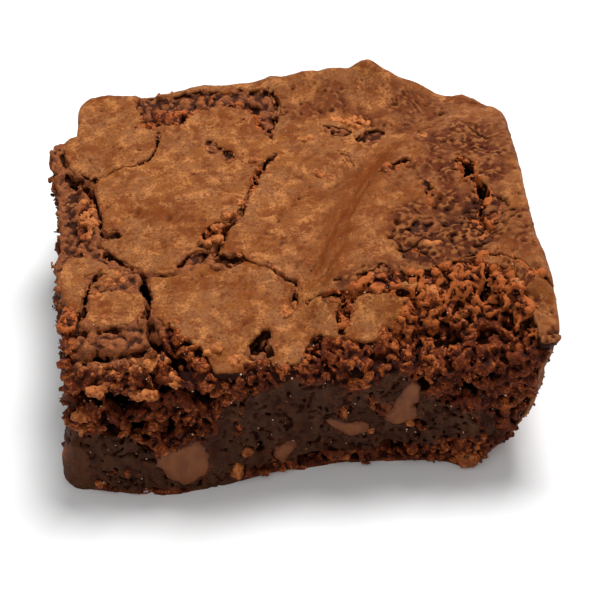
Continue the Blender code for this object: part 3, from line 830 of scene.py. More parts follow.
def mark_crust(grid, relief, rough, rng):
    """Lumps and pits where the crust is rough, and small pores all over it."""
    weight = rough.ravel().astype(np.float64)
    for kind in ("lumps", "pits"):
        for place in rng.choice(weight.size, CRUST_MARKS[kind][0], p=weight / weight.sum()):
            centre = grid.low[:2] + np.array(np.unravel_index(place, relief.shape)) * grid.cell
            stamp_mark(grid, relief, centre, kind, rng)
    for _ in range(CRUST_MARKS["pores"][0]):
        centre = grid.low[:2] + rng.random(2) * (np.array(relief.shape) * grid.cell)
        stamp_mark(grid, relief, centre, "pores", rng)


def stamp_mark(grid, relief, centre, kind, rng):
    """Press one round mark of random size into the relief, or raise a lump."""
    _, (least, spread, power), (depth, further) = CRUST_MARKS[kind]
    radius = least + spread * rng.random() ** power
    low = np.maximum(np.floor((centre - 2 * radius - grid.low[:2]) / grid.cell).astype(int), 0)
    high = np.ceil((centre + 2 * radius - grid.low[:2]) / grid.cell).astype(int) + 1
    window = (slice(low[0], max(high[0], 0)), slice(low[1], max(high[1], 0)))
    away_x = (grid.axes[0][window[0]] - centre[0])[:, None] / radius
    away_y = (grid.axes[1][window[1]] - centre[1])[None, :] / radius
    relief[window] -= (depth + further * radius) * np.exp(-((away_x**2 + away_y**2) ** 1.5))


def fold_wrinkles(grid, rng):
    """Long wrinkles that run with the fold, as a plan map."""
    fold_direction = math.radians(62.0)
    x, y = np.meshgrid(*grid.plan, indexing="ij")
    along = x * math.cos(fold_direction) + y * math.sin(fold_direction)
    across = y * math.cos(fold_direction) - x * math.sin(fold_direction)
    reach = 70.0
    axes = [np.arange(-reach, reach, grid.cell, dtype=np.float32)] * 2
    streaks = smooth_noise(rng, axes, (7.0, 1.3)) + 0.6 * smooth_noise(rng, axes, (4.0, 0.6))
    first = ((along + reach) / grid.cell).astype(int)
    second = ((across + reach) / grid.cell).astype(int)
    return streaks[first, second]


def make_fields(grid, plan, rng):
    """The core of crumb, the shell of crust, and the surface that bounds them."""
    right, left, back, front = side_distances(grid)
    lumps = layered_noise(rng, grid.axes, LAYERS["body"])
    over = (grid.z - plan["top"][:, :, None]) * TOP_SLOPE
    sides = join_sides(right, left, back, front)
    over_relief = over - plan["relief"][:, :, None]
    outer = round_max(over_relief, np.maximum(right, back), RIM_ROUND)
    outer = np.maximum(outer, round_max(sides, over_relief, CUT_ROUND))
    outer = np.maximum(outer, -grid.z) + lumps * 0.25
    core = crumb_core(grid, plan, over, (right, left, back, front), lumps)
    by_cut = CRUST_THICKNESS + CUT_OVERLAP * smooth(-3.0, -1.0, np.maximum(left, front))
    skin = np.maximum(over + by_cut, round_max(right + by_cut, back + by_cut, CORNERS["back_right"]))
    side_mask = side_crust(grid, rng)
    near_top = smooth(3.0, 1.0, plan["top"][:, :, None] - grid.z)
    mask = plan["crust"][:, :, None] * near_top + side_mask * (1.0 - near_top)
    crust = np.maximum(np.maximum.reduce([outer, -skin, -mask]), -grid.z)
    return core, crust, outer


def crumb_core(grid, plan, over, sides, lumps):
    """The crumb: just under the crust's level where it is open, and lower where crust covers it."""
    right, left, back, front = sides
    hidden = smooth(0.3, 0.9, plan["crust"])
    inner_relief = (plan["relief"] * (1.0 - hidden) - CRUST_SHOWN - 0.55 * hidden)[:, :, None]
    inner = round_max(over - inner_relief, np.maximum(right, back) + CRUST_THICKNESS, RIM_ROUND)
    inner_sides = join_sides(right + CRUST_THICKNESS, left, back + CRUST_THICKNESS, front)
    front_top = round_max(over - inner_relief, front, FRONT_ROUND)
    core = np.maximum.reduce([inner, inner_sides, front_top])
    open_here = 1.0 - covered_map(grid, plan)
    return np.maximum(core + lumps * (0.15 + 0.45 * open_here) + 0.3 * (1.0 - open_here), -grid.z)


def weather_sides(grid, plan, crust, outer):
    """Fine dents, grooves and open pores over the baked sides."""
    rng = np.random.default_rng(SEED + 1)
    low_down = smooth(1.0, 2.5, plan["top"][:, :, None] - grid.z)
    dents = creased_noise(rng, grid.axes, CREASES["sides"])
    grooves = 0.34 * fine_lines(rng, grid.axes, 2.8, 0.12)
    grooves = grooves * smooth(0.0, 0.6, smooth_noise(rng, grid.axes, 5.0))
    crust = np.maximum(crust, outer + (dents + grooves) * low_down)
    on_side = low_down * (np.abs(crust) < grid.cell)
    count, least, most = SIDE_PORES
    centres = surface_points(grid, outer, on_side, count, rng)
    stamp(grid, crust, centres, lump_radii(len(centres), least, most, rng), cut=True)
    return crust


def covered_map(grid, plan):
    """Where the crust hides the crumb: 1 under it, 0 in the open."""
    under = smooth(0.1, 0.7, plan["crust"])[:, :, None] * smooth(3.0, 2.0, plan["top"][:, :, None] - grid.z)
    baked = smooth(31.5, 33.5, grid.x) * (grid.y > -33.0) + smooth(31.0, 32.5, grid.y)
    baked = baked * smooth(1.0, 2.5, plan["top"][:, :, None] - grid.z) * (grid.z > 3.0)
    return np.clip(under + baked, 0.0, 1.0).astype(np.float32)


def outline_map(across, height, outline):
    """Signed distance from a closed outline, negative inside, for points on a side."""
    nearest = np.full(np.broadcast(across, height).shape, FAR, dtype=np.float32)
    inside = np.zeros(nearest.shape, dtype=bool)
    for (x0, z0), (x1, z1) in zip(outline, outline[1:] + outline[:1]):
        run_x, run_z = x1 - x0, z1 - z0
        along = ((across - x0) * run_x + (height - z0) * run_z) / (run_x**2 + run_z**2)
        along = np.clip(along, 0.0, 1.0)
        distance = np.hypot(across - x0 - along * run_x, height - z0 - along * run_z)
        nearest = np.minimum(nearest, distance)
        between = (z0 <= height) != (z1 <= height)
        crossing = x0 + (height - z0) * run_x / (run_z if run_z else 1.0)
        inside ^= between & (across < crossing)
    return np.where(inside, -nearest, nearest)


def chip_cover(grid):
    """Distance from the cut chips over both cut sides, negative on a chip."""
    front = np.min([outline_map(grid.x, grid.z, outline) for outline in FRONT_CHIPS], axis=0)
    left = np.min([outline_map(grid.y, grid.z, outline) for outline in LEFT_CHIPS], axis=0)
    near_front = front + FAR * (grid.y > -HALF_DEPTH + 5.0)
    near_left = left + FAR * (grid.x > -HALF_WIDTH + 5.0)
    return np.minimum(near_front, near_left)


def side_crust(grid, rng):
    """Where the baked sides keep their skin: positive inside it."""
    noise = layered_noise(rng, grid.axes, LAYERS["side_crust"])
    return (grid.z - 1.0) * 0.6 + 0.8 + 0.6 * noise


def bare_patches(grid, plan, core, rng):
    """The core with its patches of bare crumb sunk a little."""
    rough = layered_noise(rng, grid.axes, LAYERS["patch_floor"])
    patch_floor = plan["top"][:, :, None] - CRUST_SHOWN - plan["bare_depth"][:, :, None] * 0.6
    patch = np.maximum(plan["bare"][:, :, None], patch_floor - grid.z)
    return np.maximum(core, -(patch + rough))


def find_cuts(grid, plan, rng):
    """Cracks and holes as one field, negative inside them."""
    top = plan["top"][:, :, None]
    rough = layered_noise(rng, grid.axes, LAYERS["cut_walls"])
    floor = top - plan["crack_depth"][:, :, None]
    depth = (top - grid.z) / np.maximum(plan["crack_depth"][:, :, None], 0.5)
    cuts = np.maximum(plan["crack"][:, :, None] + 0.35 * np.clip(depth, 0.0, 1.0), floor - grid.z) + rough
    for x, y, z, reach_x, reach_y, reach_z in HOLLOWS:
        away = np.sqrt(((grid.x - x) / reach_x) ** 2 + ((grid.y - y) / reach_y) ** 2
                       + ((grid.z - z) / reach_z) ** 2)
        cuts = np.minimum(cuts, (away - 1.0) * min(reach_x, reach_y, reach_z) + rough * 1.6)
    return cuts


def seat_chips(grid, core, chips, rng):
    """The core with seats for the chips, and the flap of skin at its corner."""
    _, left, _, front = side_distances(grid)
    pocket = np.maximum(chips + 0.2, -np.maximum(front, left) - CHIP_DEPTH)
    core = np.maximum(core, -pocket)
    rough = layered_noise(rng, grid.axes, LAYERS["cut_walls"])
    edge = flap_map(grid) + rough * 1.4
    corner = round_max(left, front, CORNERS["front_left"])
    skin = np.maximum(corner - FLAP_PROUD + rough * 0.3, -front - 3.0)
    return np.minimum(core, np.maximum(skin, np.maximum(edge, -grid.z)))


def fudge_map(grid, rng):
    """How fudgy the crumb is, from 0, crumbly, to 1, dense: a field over the whole brownie."""
    noise = layered_noise(rng, grid.axes, LAYERS["fudge_edge"])
    upper = np.interp(grid.axes[0], *zip(*FUDGE_TOP))[:, None, None]
    lower = np.interp(grid.axes[0], *zip(*FUDGE_BOTTOM))[:, None, None]
    on_left = smooth(-34.5, -36.5, grid.x) * smooth(-36.0, -33.0, grid.y)
    upper = upper * (1.0 - on_left) + LEFT_FUDGE_TOP * on_left
    depth = np.minimum(upper - grid.z, (grid.z - lower) * 1.2 + 0.6) + noise
    islands = smooth_noise(rng, grid.axes, (1.1, 1.1, 1.7)) + 0.5 * smooth_noise(rng, grid.axes, 3.4)
    dense = smooth(-0.3, 0.6, depth) * smooth(1.75, 1.35, islands)
    return (dense * (0.85 + 0.15 * smooth(-0.1, 0.3, flap_map(grid)))).astype(np.float32)


def flap_map(grid):
    """Signed distance from the skin flap's outline on the front, negative inside."""
    return outline_map(grid.x, grid.z, SKIN_FLAP) + FAR * (grid.y > -HALF_DEPTH + 6.0)


def open_crumb(grid, plan, fudge, chips):
    """How freely the crumb shows at each point, from 0 to 1, and how granular it is there."""
    shown = (1.0 - covered_map(grid, plan)) * smooth(0.4, 0.8, grid.z) * (chips > 0.1)
    deep = smooth(1.2, 3.0, plan["top"][:, :, None] - grid.z)
    granular = np.maximum(plan["granular"][:, :, None], deep) * (1.0 - fudge)
    granular = granular * smooth(-0.1, 0.3, flap_map(grid))
    return shown.astype(np.float32), granular.astype(np.float32)


def roughen(grid, core, open_here, loose, dense, clusters, rng):
    """Granules, pores and slits over the crumb; gives back the core and each granule's own tone."""
    tone = 0.16 + 0.10 * smooth_noise(rng, grid.axes, 2.5) + 0.42 * smooth(19.5, 25.0, grid.z)
    count, least, most = GRANULES
    centres = surface_points(grid, core, loose * clusters, count, rng)
    radii = lump_radii(len(centres), least, most, rng)
    sink = radii.mean(axis=1, keepdims=True) * rng.uniform(0.1, 1.4, (len(centres), 1))
    centres = centres - outward(grid, core, centres) * sink
    worn = loose * EROSION * (1.6 - 0.6 * clusters)
    core = core + worn * (1.0 - 0.5 * smooth(23.5, 26.0, grid.z))
    stamp(grid, core, centres, radii, grain_tones(grid, centres, rng), tone)
    creases = creased_noise(rng, grid.axes, CREASES["crumb"]) - 0.3
    core = core - creases * np.maximum(loose, open_here * (0.95 - 0.8 * dense))
    for kind, weight in {"fine": 0.1 + loose, "fudge": dense}.items():
        count, least, most = PORES[kind]
        centres = surface_points(grid, core, weight, count, rng)
        stamp(grid, core, centres, lump_radii(len(centres), least, most, rng), cut=True)
        count, least, most = LUMPS[kind]
        centres = surface_points(grid, core, weight, count, rng)
        radii = lump_radii(len(centres), least, most, rng)
        stamp(grid, core, centres, radii, grain_tones(grid, centres, rng), tone)
    cut_slits(grid, core, dense, rng)
    return np.maximum(core, -grid.z), tone


def cut_slits(grid, core, dense, rng):
    """Short ragged slits in the dense fudge, each a wandering chain of pores."""
    starts = surface_points(grid, core, dense, SLITS, rng)
    for start in starts:
        steps = rng.integers(4, 14)
        heading = rng.uniform(-0.6, 0.6) + np.cumsum(rng.normal(0.0, 0.5, steps))
        run = np.stack([np.cos(heading), np.cos(heading), np.sin(heading)], axis=1) * 0.38
        run[:, 0 if start[0] < -HALF_WIDTH + 2.0 else 1] = 0.0
        chain = (start + np.cumsum(run, axis=0)).astype(np.float32)
        stamp(grid, core, chain, lump_radii(steps, *SLIT_SIZES, rng), cut=True)


def grain_tones(grid, centres, rng, lift=0.0):
    """A tone for each grain, from 0, dark, to 1, toasted: alike in clumps, and paler towards the top."""
    clumps = grid.read(smooth_noise(rng, grid.axes, 2.2), centres)
    tones = 0.24 + 0.12 * clumps + rng.normal(0.0, 0.09, len(centres)) + lift
    return np.clip(tones + 0.46 * smooth(20.5, 26.0, centres[:, 2]), 0.0, 1.0)


def stamp(grid, field, centres, radii, tones=None, tone_field=None, cut=False):
    """Add small rounded lumps to a field, or cut them out of it, one at a time."""
    pad = 2.5 * grid.cell
    shape = np.array(field.shape)
    for index, (centre, radius) in enumerate(zip(centres, radii)):
        reach = radius.max() + pad
        low = np.clip(np.floor((centre - reach - grid.low) / grid.cell).astype(int), 0, shape - 1)
        high = np.clip(np.ceil((centre + reach - grid.low) / grid.cell).astype(int) + 1, 1, shape)
        window = tuple(slice(a, b) for a, b in zip(low, high))
        x = (grid.axes[0][window[0]] - centre[0])[:, None, None] / radius[0]
        y = (grid.axes[1][window[1]] - centre[1])[None, :, None] / radius[1]
        z = (grid.axes[2][window[2]] - centre[2])[None, None, :] / radius[2]
        away = (np.sqrt(x * x + y * y + z * z) - 1.0) * radius.min()
        part = field[window]
        if cut:
            np.maximum(part, -away, out=part)
            continue
        tone = tone_field[window]
        tone[(away < part) | (away < 0.3 * grid.cell)] = tones[index]
        blend = np.clip(0.5 + 0.5 * (part - away) / MERGE, 0.0, 1.0)
        part[:] = part * (1.0 - blend) + away * blend - MERGE * blend * (1.0 - blend)


def surface_points(grid, field, weight, count, rng):
    """Random points on a field's surface, denser where the weight is higher."""
    near = np.abs(field) < 0.6 * grid.cell
    places = np.argwhere(near)
    chance = weight[near].astype(np.float64)
    total = chance.sum()
    if total <= 0.0:
        return np.zeros((0, 3), dtype=np.float32)
    size = min(count, int((chance > 0).sum()))
    picked = rng.choice(len(places), size=size, replace=False, p=chance / total)
    points = grid.low + places[picked] * grid.cell
    return (points + rng.uniform(-0.5, 0.5, points.shape) * grid.cell).astype(np.float32)


def lump_radii(count, low, high, rng):
    """Radii along three axes for uneven lumps."""
    size = low + (high - low) * rng.random((count, 1)) ** 1.6
    return (size * rng.uniform(0.55, 1.35, (count, 3))).astype(np.float32)


# ---------------------------------------------------------------------------------------------
# Meshes
# ---------------------------------------------------------------------------------------------


def read_surface(grid, field):
    """The surface where a field is 0, as points in mm and faces of four corners."""
    band = np.clip(field, -1.0, 1.0).astype(np.float32)
    band[[0, -1]] = 1.0
    band[:, [0, -1]] = 1.0
    band[:, :, [0, -1]] = 1.0
    volume = openvdb.FloatGrid(1.0)
    volume.copyFromArray(band)
    volume.transform = openvdb.createLinearTransform(voxelSize=grid.cell)
    points, _, quads = volume.convertToPolygons(isovalue=0.0, adaptivity=0.0)
    return points + grid.low, quads


def keep_largest(points, faces):
    """Drop every island but the largest."""
    label = np.arange(len(points))
    while True:
        lowest = label[faces].min(axis=1)
        fresh = label.copy()
        np.minimum.at(fresh, faces.ravel(), np.repeat(lowest, faces.shape[1]))
        fresh = fresh[fresh]
        if np.array_equal(fresh, label):
            break
        label = fresh
    names, counts = np.unique(label, return_counts=True)
    kept = label == names[counts.argmax()]
    number = np.cumsum(kept) - 1
    return points[kept], number[faces[kept[faces[:, 0]]]]


def mesh_object(name, points, faces, shift, faceted=False):
    """A mesh from points in mm, smooth-shaded unless it is faceted."""
    mesh = bpy.data.meshes.new(name)
    sides = faces.shape[1]
    mesh.vertices.add(len(points))
    mesh.vertices.foreach_set("co", ((points + shift) * MM).astype(np.float32).ravel())
    mesh.loops.add(faces.size)
    mesh.loops.foreach_set("vertex_index", faces.astype(np.int32).ravel())
    mesh.polygons.add(len(faces))
    mesh.polygons.foreach_set("loop_start", np.arange(0, faces.size, sides, dtype=np.int32))
    mesh.update(calc_edges=True)
    mesh.validate()
    if faceted:
        mesh.shade_flat()
    else:
        mesh.shade_smooth()
    obj = bpy.data.objects.new(name, mesh)
    bpy.context.scene.collection.objects.link(obj)
    return obj


def thin_out(obj, most):
    """Collapse a mesh's smaller edges until it has no more than the given number of triangles."""
    obj.data.calc_loop_triangles()
    count = len(obj.data.loop_triangles)
    if count <= most:
        return
    thinner = obj.modifiers.new("thinner", "DECIMATE")
    thinner.ratio = most / count
    graph = bpy.context.evaluated_depsgraph_get()
    mesh = bpy.data.meshes.new_from_object(obj.evaluated_get(graph))
    obj.modifiers.remove(thinner)
    old = obj.data
    obj.data = mesh
    mesh.name = old.name
    bpy.data.meshes.remove(old)
    mesh.shade_smooth()


def vertex_points(obj, shift):
    """An object's vertices back in the brownie's plan, in mm."""
    points = np.empty(len(obj.data.vertices) * 3, dtype=np.float32)
    obj.data.vertices.foreach_get("co", points)
    return points.reshape(-1, 3) / MM - shift


def mesh_hollows(obj, passes):
    """How far each vertex lies below its smoothed surroundings in mm: more than 0 in a dip."""
    mesh = obj.data
    points = np.empty(len(mesh.vertices) * 3, dtype=np.float32)
    mesh.vertices.foreach_get("co", points)
    points = points.reshape(-1, 3) / MM
    normals = np.empty(len(mesh.vertices) * 3, dtype=np.float32)
    mesh.vertices.foreach_get("normal", normals)
    edges = np.empty(len(mesh.edges) * 2, dtype=np.int32)
    mesh.edges.foreach_get("vertices", edges)
    first, second = edges.reshape(-1, 2).T
    ends = np.concatenate([first, second])
    others = np.concatenate([second, first])
    number = np.maximum(np.bincount(ends, minlength=len(points)), 1)[:, None]
    smoothed = points
    for _ in range(passes):
        sums = [np.bincount(ends, weights=smoothed[others, axis], minlength=len(points)) for axis in range(3)]
        smoothed = np.stack(sums, axis=1) / number
    return ((smoothed - points) * normals.reshape(-1, 3)).sum(axis=1)


def add_mask(obj, name, values):
    """Store one number for each vertex, for the materials to read."""
    layer = obj.data.attributes.new(name, "FLOAT", "POINT")
    layer.data.foreach_set("value", np.ascontiguousarray(values, dtype=np.float32))


# ---------------------------------------------------------------------------------------------
# Small pieces: grains, chips and sugar
# ---------------------------------------------------------------------------------------------


def ball(level):
    """Corners and faces of a ball of radius 1: 20 faces at level 1, and 80 at level 2."""
    mesh = bmesh.new()
    bmesh.ops.create_icosphere(mesh, subdivisions=level, radius=1.0)
    corners = np.array([vertex.co[:] for vertex in mesh.verts], dtype=np.float32)
    faces = np.array([[vertex.index for vertex in face.verts] for face in mesh.faces])
    mesh.free()
    return corners, faces


def random_turns(count, rng):
    """Random rotation matrices."""
    quaternions = rng.standard_normal((4, count))
    w, x, y, z = quaternions / np.linalg.norm(quaternions, axis=0)
    rows = [[1 - 2 * (y * y + z * z), 2 * (x * y - z * w), 2 * (x * z + y * w)],
            [2 * (x * y + z * w), 1 - 2 * (x * x + z * z), 2 * (y * z - x * w)],
            [2 * (x * z - y * w), 2 * (y * z + x * w), 1 - 2 * (x * x + y * y)]]
    return np.moveaxis(np.array(rows, dtype=np.float32), 2, 0)


def scatter(centres, radii, level, rng):
    """Many small broken lumps as one set of points in mm and triangles, and the points in each lump."""
    corners, faces = ball(level)
    count = len(centres)
    shapes = np.repeat(corners[None], count, axis=0)
    for _ in range(6):
        facing = rng.standard_normal((count, 1, 3)).astype(np.float32)
        facing /= np.linalg.norm(facing, axis=2, keepdims=True)
        past = (shapes * facing).sum(axis=2, keepdims=True) - rng.uniform(0.35, 0.75, (count, 1, 1))
        shapes = shapes - facing * np.maximum(past, 0.0)
    shapes = shapes * rng.uniform(0.85, 1.2, shapes.shape[:2] + (1,))
    shapes = np.einsum("nij,nkj->nki", random_turns(count, rng), shapes * radii[:, None, :])
    points = (shapes + centres[:, None, :]).reshape(-1, 3)
    steps = np.arange(count)[:, None, None] * len(corners)
    return points, (faces[None] + steps).reshape(-1, 3), len(corners)


def outward(grid, field, points):
    """Unit normals of a field at points."""
    reach = 1.2 * grid.cell
    slopes = [grid.read(field, points + step) - grid.read(field, points - step) for step in np.eye(3) * reach]
    normals = np.stack(slopes, axis=1)
    return normals / np.maximum(np.linalg.norm(normals, axis=1, keepdims=True), 1e-6)


def add_grains(name, grid, fields, weight, material, shift, rng):
    """Crumbs stuck on the surface, each with its own tone."""
    field, base, crust_edge = fields
    count, sizes, level = GRAINS[name]
    centres = surface_points(grid, field, weight, count, rng)
    radii = lump_radii(len(centres), *sizes, rng)
    lift = radii.mean(axis=1, keepdims=True) * rng.uniform(-0.7, 0.15, (len(centres), 1))
    centres = centres + outward(grid, field, centres) * lift
    centres[:, 2] = np.maximum(centres[:, 2], radii.max(axis=1) * 1.3)
    points, faces, corners = scatter(centres, radii, level, rng)
    points[:, 2] = np.maximum(points[:, 2], 0.0)
    piece = mesh_object(name, points, faces, shift, faceted=True)
    from_crust = 0.4 * np.exp(-((grid.read(crust_edge, centres) / 1.2) ** 2)) * (centres[:, 2] > 23.5)
    add_mask(piece, "tone", np.repeat(grain_tones(grid, centres, rng, from_crust), corners))
    # Depth below the uneroded surface, which the material turns into painted shade.
    add_mask(piece, "sunk", -grid.read(base, vertex_points(piece, shift)))
    piece.data.materials.append(material)
    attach(piece, "root")
    return piece


def column_tops(grid, field, places):
    """Height of a field's surface over each place in plan."""
    heights = []
    for x, y in places:
        column = field[round((x - grid.low[0]) / grid.cell), round((y - grid.low[1]) / grid.cell)]
        heights.append(grid.axes[2][np.flatnonzero(column < 0.0)[-1]])
    return np.array(heights, dtype=np.float32)


def flake_clusters(grid, field, rng):
    """Centres, radii and tones of the small lumps that each flake is built from."""
    rows = np.array(FLAKES, dtype=np.float32)
    tops = column_tops(grid, field, rows[:, :2])
    centres, radii, tones = [], [], []
    for (x, y, length, width, height, turn, rise, tone), top in zip(rows, tops):
        cos, sin = math.cos(math.radians(turn)), math.sin(math.radians(turn))
        along = np.linspace(-0.4, 0.4, FLAKE_LUMPS) * length + rng.uniform(-0.1, 0.1, FLAKE_LUMPS) * length
        across = rng.uniform(-0.28, 0.28, FLAKE_LUMPS) * width
        level = top + 0.6 * rise - 0.2 + rng.uniform(-0.3, 0.1, FLAKE_LUMPS) * height
        lump_x = x + along * cos - across * sin
        lump_y = y + along * sin + across * cos
        centres.append(np.stack([lump_x, lump_y, level], axis=1))
        sizes = [0.28 * width + 0.08, 0.28 * width + 0.08, height * 0.42]
        radii.append(rng.uniform(0.6, 1.1, (FLAKE_LUMPS, 3)) * sizes)
        tones.append(tone + rng.normal(0.0, 0.08, FLAKE_LUMPS))
    for x, z, radius, tone in FRONT_LUMPS:
        row = field[round((x - grid.low[0]) / grid.cell), :, round((z - grid.low[2]) / grid.cell)]
        front = grid.axes[1][np.flatnonzero(row < 0.0)[0]]
        away = rng.normal(0.0, 0.4, (FLAKE_LUMPS, 3)) * [radius, 0.2, radius]
        centres.append(np.array([x, front + 0.2 * radius, z]) + away)
        radii.append(rng.uniform(0.4, 0.7, (FLAKE_LUMPS, 3)) * radius)
        tones.append(tone + rng.normal(0.0, 0.08, FLAKE_LUMPS))
    return [np.concatenate(parts).astype(np.float32) for parts in (centres, radii, tones)]


def flake_mesh(grid, field, shift, rng):
    """The flakes and lumps that stand out, as one sculpted piece."""
    centres, radii, tones = flake_clusters(grid, field, rng)
    lumps = np.full(field.shape, 3.0, dtype=np.float32)
    tone = np.full(field.shape, 0.5, dtype=np.float32)
    stamp(grid, lumps, centres, radii, tones, tone)
    pitted = creased_noise(rng, grid.axes, CREASES["flakes"]) - 0.14
    lumps = np.maximum(lumps - pitted, -grid.z)
    piece = build_piece("flakes", grid, lumps, shift, flake_material(), FLAKE_TRIANGLES)
    add_mask(piece, "tone", grid.read(tone, vertex_points(piece, shift)))
    add_mask(piece, "dip", mesh_hollows(piece, FLAKE_DIP_PASSES))


def chip_piece(name, outline, side, shift, rng):
    """A chip that the knife cut through: flat and a little proud on its side, rounded at its edge."""
    first, second = zip(*outline)
    plane = (HALF_DEPTH if side == "front" else HALF_WIDTH) + CHIP_START
    low = (min(first) - CHIP_MARGIN, -plane, min(second) - CHIP_MARGIN)
    high = (max(first) + CHIP_MARGIN, -plane + CHIP_BLOCK, max(second) + CHIP_MARGIN)
    if side == "left":
        low, high = (low[1], low[0], low[2]), (high[1], high[0], high[2])
    grid = Grid(low, high, CHIP_CELL)
    across = grid.x if side == "front" else grid.y
    face = side_distances(grid)[3 if side == "front" else 1]
    ragged = layered_noise(rng, grid.axes, LAYERS["chip_rim"])
    waves = layered_noise(rng, grid.axes, LAYERS["chip_face"])
    rim = outline_map(across, grid.z, outline) + ragged
    field = round_max(rim, face - CHIP_PROUD + waves, CHIP_ROUND)
    field = np.maximum(field, -face - CHIP_DEPTH)
    piece = mesh_object(name, *read_surface(grid, field), shift)
    points = vertex_points(piece, shift)
    add_mask(piece, "rim", grid.read(rim * np.ones_like(field), points))
    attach(piece, "root")
    return piece


# ---------------------------------------------------------------------------------------------
# The scene
# ---------------------------------------------------------------------------------------------


def linear(name):
    """One of the named colours, as the linear values that Blender's sockets take."""
    values = np.array(COLOURS[name]) / 255.0
    values = np.where(values <= 0.04045, values / 12.92, ((values + 0.055) / 1.055) ** 2.4)
    return (*values.tolist(), 1.0)


class Nodes:
    """Builds a material's nodes; a value passed in is a number, a colour or another node's socket."""

    def __init__(self, name):
        self.material = bpy.data.materials.new(name)
        self.material.use_nodes = True
        self.tree = self.material.node_tree
        self.shader = self.tree.nodes["Principled BSDF"]
        self.place = self.add("ShaderNodeTexCoord").outputs["Object"]

    def add(self, kind, **settings):
        """A new node with the given settings."""
        node = self.tree.nodes.new(kind)
        for name, value in settings.items():
            setattr(node, name, value)
        return node

    def fill(self, socket, value):
        """Link a socket to another, or give it a plain value."""
        if isinstance(value, bpy.types.NodeSocket):
            self.tree.links.new(value, socket)
        else:
            socket.default_value = value

    def mask(self, name):
        """One of the numbers stored for each vertex."""
        return self.add("ShaderNodeAttribute", attribute_name=name).outputs["Fac"]

    def noise(self, size, detail=2.0, roughness=0.5, stretch=(1.0, 1.0, 1.0), turn=(0.0, 0.0, 0.0)):
        """Noise whose lumps are about size mm across."""
        place = self.add("ShaderNodeMapping")
        self.fill(place.inputs["Vector"], self.place)
        place.inputs["Scale"].default_value = stretch
        place.inputs["Rotation"].default_value = turn
        node = self.add("ShaderNodeTexNoise")
        self.fill(node.inputs["Vector"], place.outputs["Vector"])
        node.inputs["Scale"].default_value = 1.0 / (size * MM)
        node.inputs["Detail"].default_value = detail
        node.inputs["Roughness"].default_value = roughness
        return node.outputs["Fac"]

    def span(self, value, low, high, to_low=0.0, to_high=1.0):
        """Bring a value from one range to another, held within it."""
        node = self.add("ShaderNodeMapRange", interpolation_type="SMOOTHSTEP")
        self.fill(node.inputs["Value"], value)
        node.inputs["From Min"].default_value = low
        node.inputs["From Max"].default_value = high
        node.inputs["To Min"].default_value = to_low
        node.inputs["To Max"].default_value = to_high
        return node.outputs["Result"]

    def maths(self, operation, a, b):
        """Two values added, multiplied and so on."""
        node = self.add("ShaderNodeMath", operation=operation)
        self.fill(node.inputs[0], a)
        self.fill(node.inputs[1], b)
        return node.outputs["Value"]

    def mix(self, factor, a, b):
        """Colour a where the factor is 0, and b where it is 1."""
        node = self.add("ShaderNodeMix", data_type="RGBA")
        self.fill(node.inputs["Factor"], factor)
        self.fill(node.inputs[6], a)
        self.fill(node.inputs[7], b)
        return node.outputs[2]

    def tint(self, colour, name, value, low, high, to_low=0.0, to_high=1.0):
        """Mix a named colour in by where a value lies between low and high."""
        return self.mix(self.span(value, low, high, to_low, to_high), colour, linear(name))

    def bump(self, height, distance, strength=1.0, normal=None):
        """A normal bent by a height that is up to distance mm deep."""
        node = self.add("ShaderNodeBump")
        node.inputs["Strength"].default_value = strength
        node.inputs["Distance"].default_value = distance * MM
        self.fill(node.inputs["Height"], height)
        if normal is not None:
            self.fill(node.inputs["Normal"], normal)
        return node.outputs["Normal"]

    def finish(self, colour, roughness, normal, specular):
        """Fill the shader, and give back the material."""
        self.fill(self.shader.inputs["Base Color"], colour)
        self.fill(self.shader.inputs["Roughness"], roughness)
        self.fill(self.shader.inputs["Normal"], normal)
        self.shader.inputs["Specular IOR Level"].default_value = specular
        return self.material


def crumb_colour(n, tone):
    """The browns of crumbs by tone, from dark red-brown to golden."""
    colour = n.tint(linear("crumb_dark_and_shade"), "crumb", tone, 0.05, 0.5)
    return n.tint(colour, "crumb_light", tone, 0.55, 1.0)


def bare_colour(n, dip):
    """Bare crumb: patches of two browns, dark specks and pale crumbs, with painted highlight on its ridges.
    """
    colour = n.tint(linear("bare"), "bare_light_and_highlight", n.noise(1.0, 5.0, 0.75), 0.42, 0.6)
    colour = n.tint(colour, "crumb_dark_and_shade", n.noise(0.45, 4.0, 0.75), 0.46, 0.62, 0.0, 0.75)
    # Painted highlight: paler on the ridges, where the dip is below 0.
    colour = n.tint(colour, "bare_light_and_highlight", dip, -0.16, -0.04, 0.3, 0.0)
    return n.tint(colour, "crust_light_and_highlight", n.noise(0.7, 3.0, 0.7), 0.62, 0.68, 0.0, 0.8)


def fudge_colour(n):
    """Dense fudge: dark streaks, redder patches, flecks of crumb, and thin wandering slits painted as shade.
    """
    streaks = n.noise(1.6, 4.0, 0.6, (1.0, 1.0, 0.35))
    colour = n.tint(linear("fudge"), "fudge_light", streaks, 0.35, 0.7)
    colour = n.tint(colour, "fudge_red", n.noise(2.4, 3.0, 0.6), 0.55, 0.75, 0.0, 0.6)
    # Painted shade: thin near-black slits where the noise crosses its middle, with no cut in the surface.
    wander = n.noise(2.4, 5.0, 0.75, (1.0, 1.0, 1.5))
    slits = n.maths("MULTIPLY", n.span(wander, 0.484, 0.496), n.span(wander, 0.504, 0.516, 1.0, 0.0))
    slits = n.maths("MULTIPLY", slits, n.span(n.noise(2.0, 2.0), 0.48, 0.56))
    colour = n.mix(slits, colour, linear("shadow"))
    return n.tint(colour, "crumb", n.noise(0.9, 4.0, 0.75), 0.6, 0.66, 0.0, 0.7)


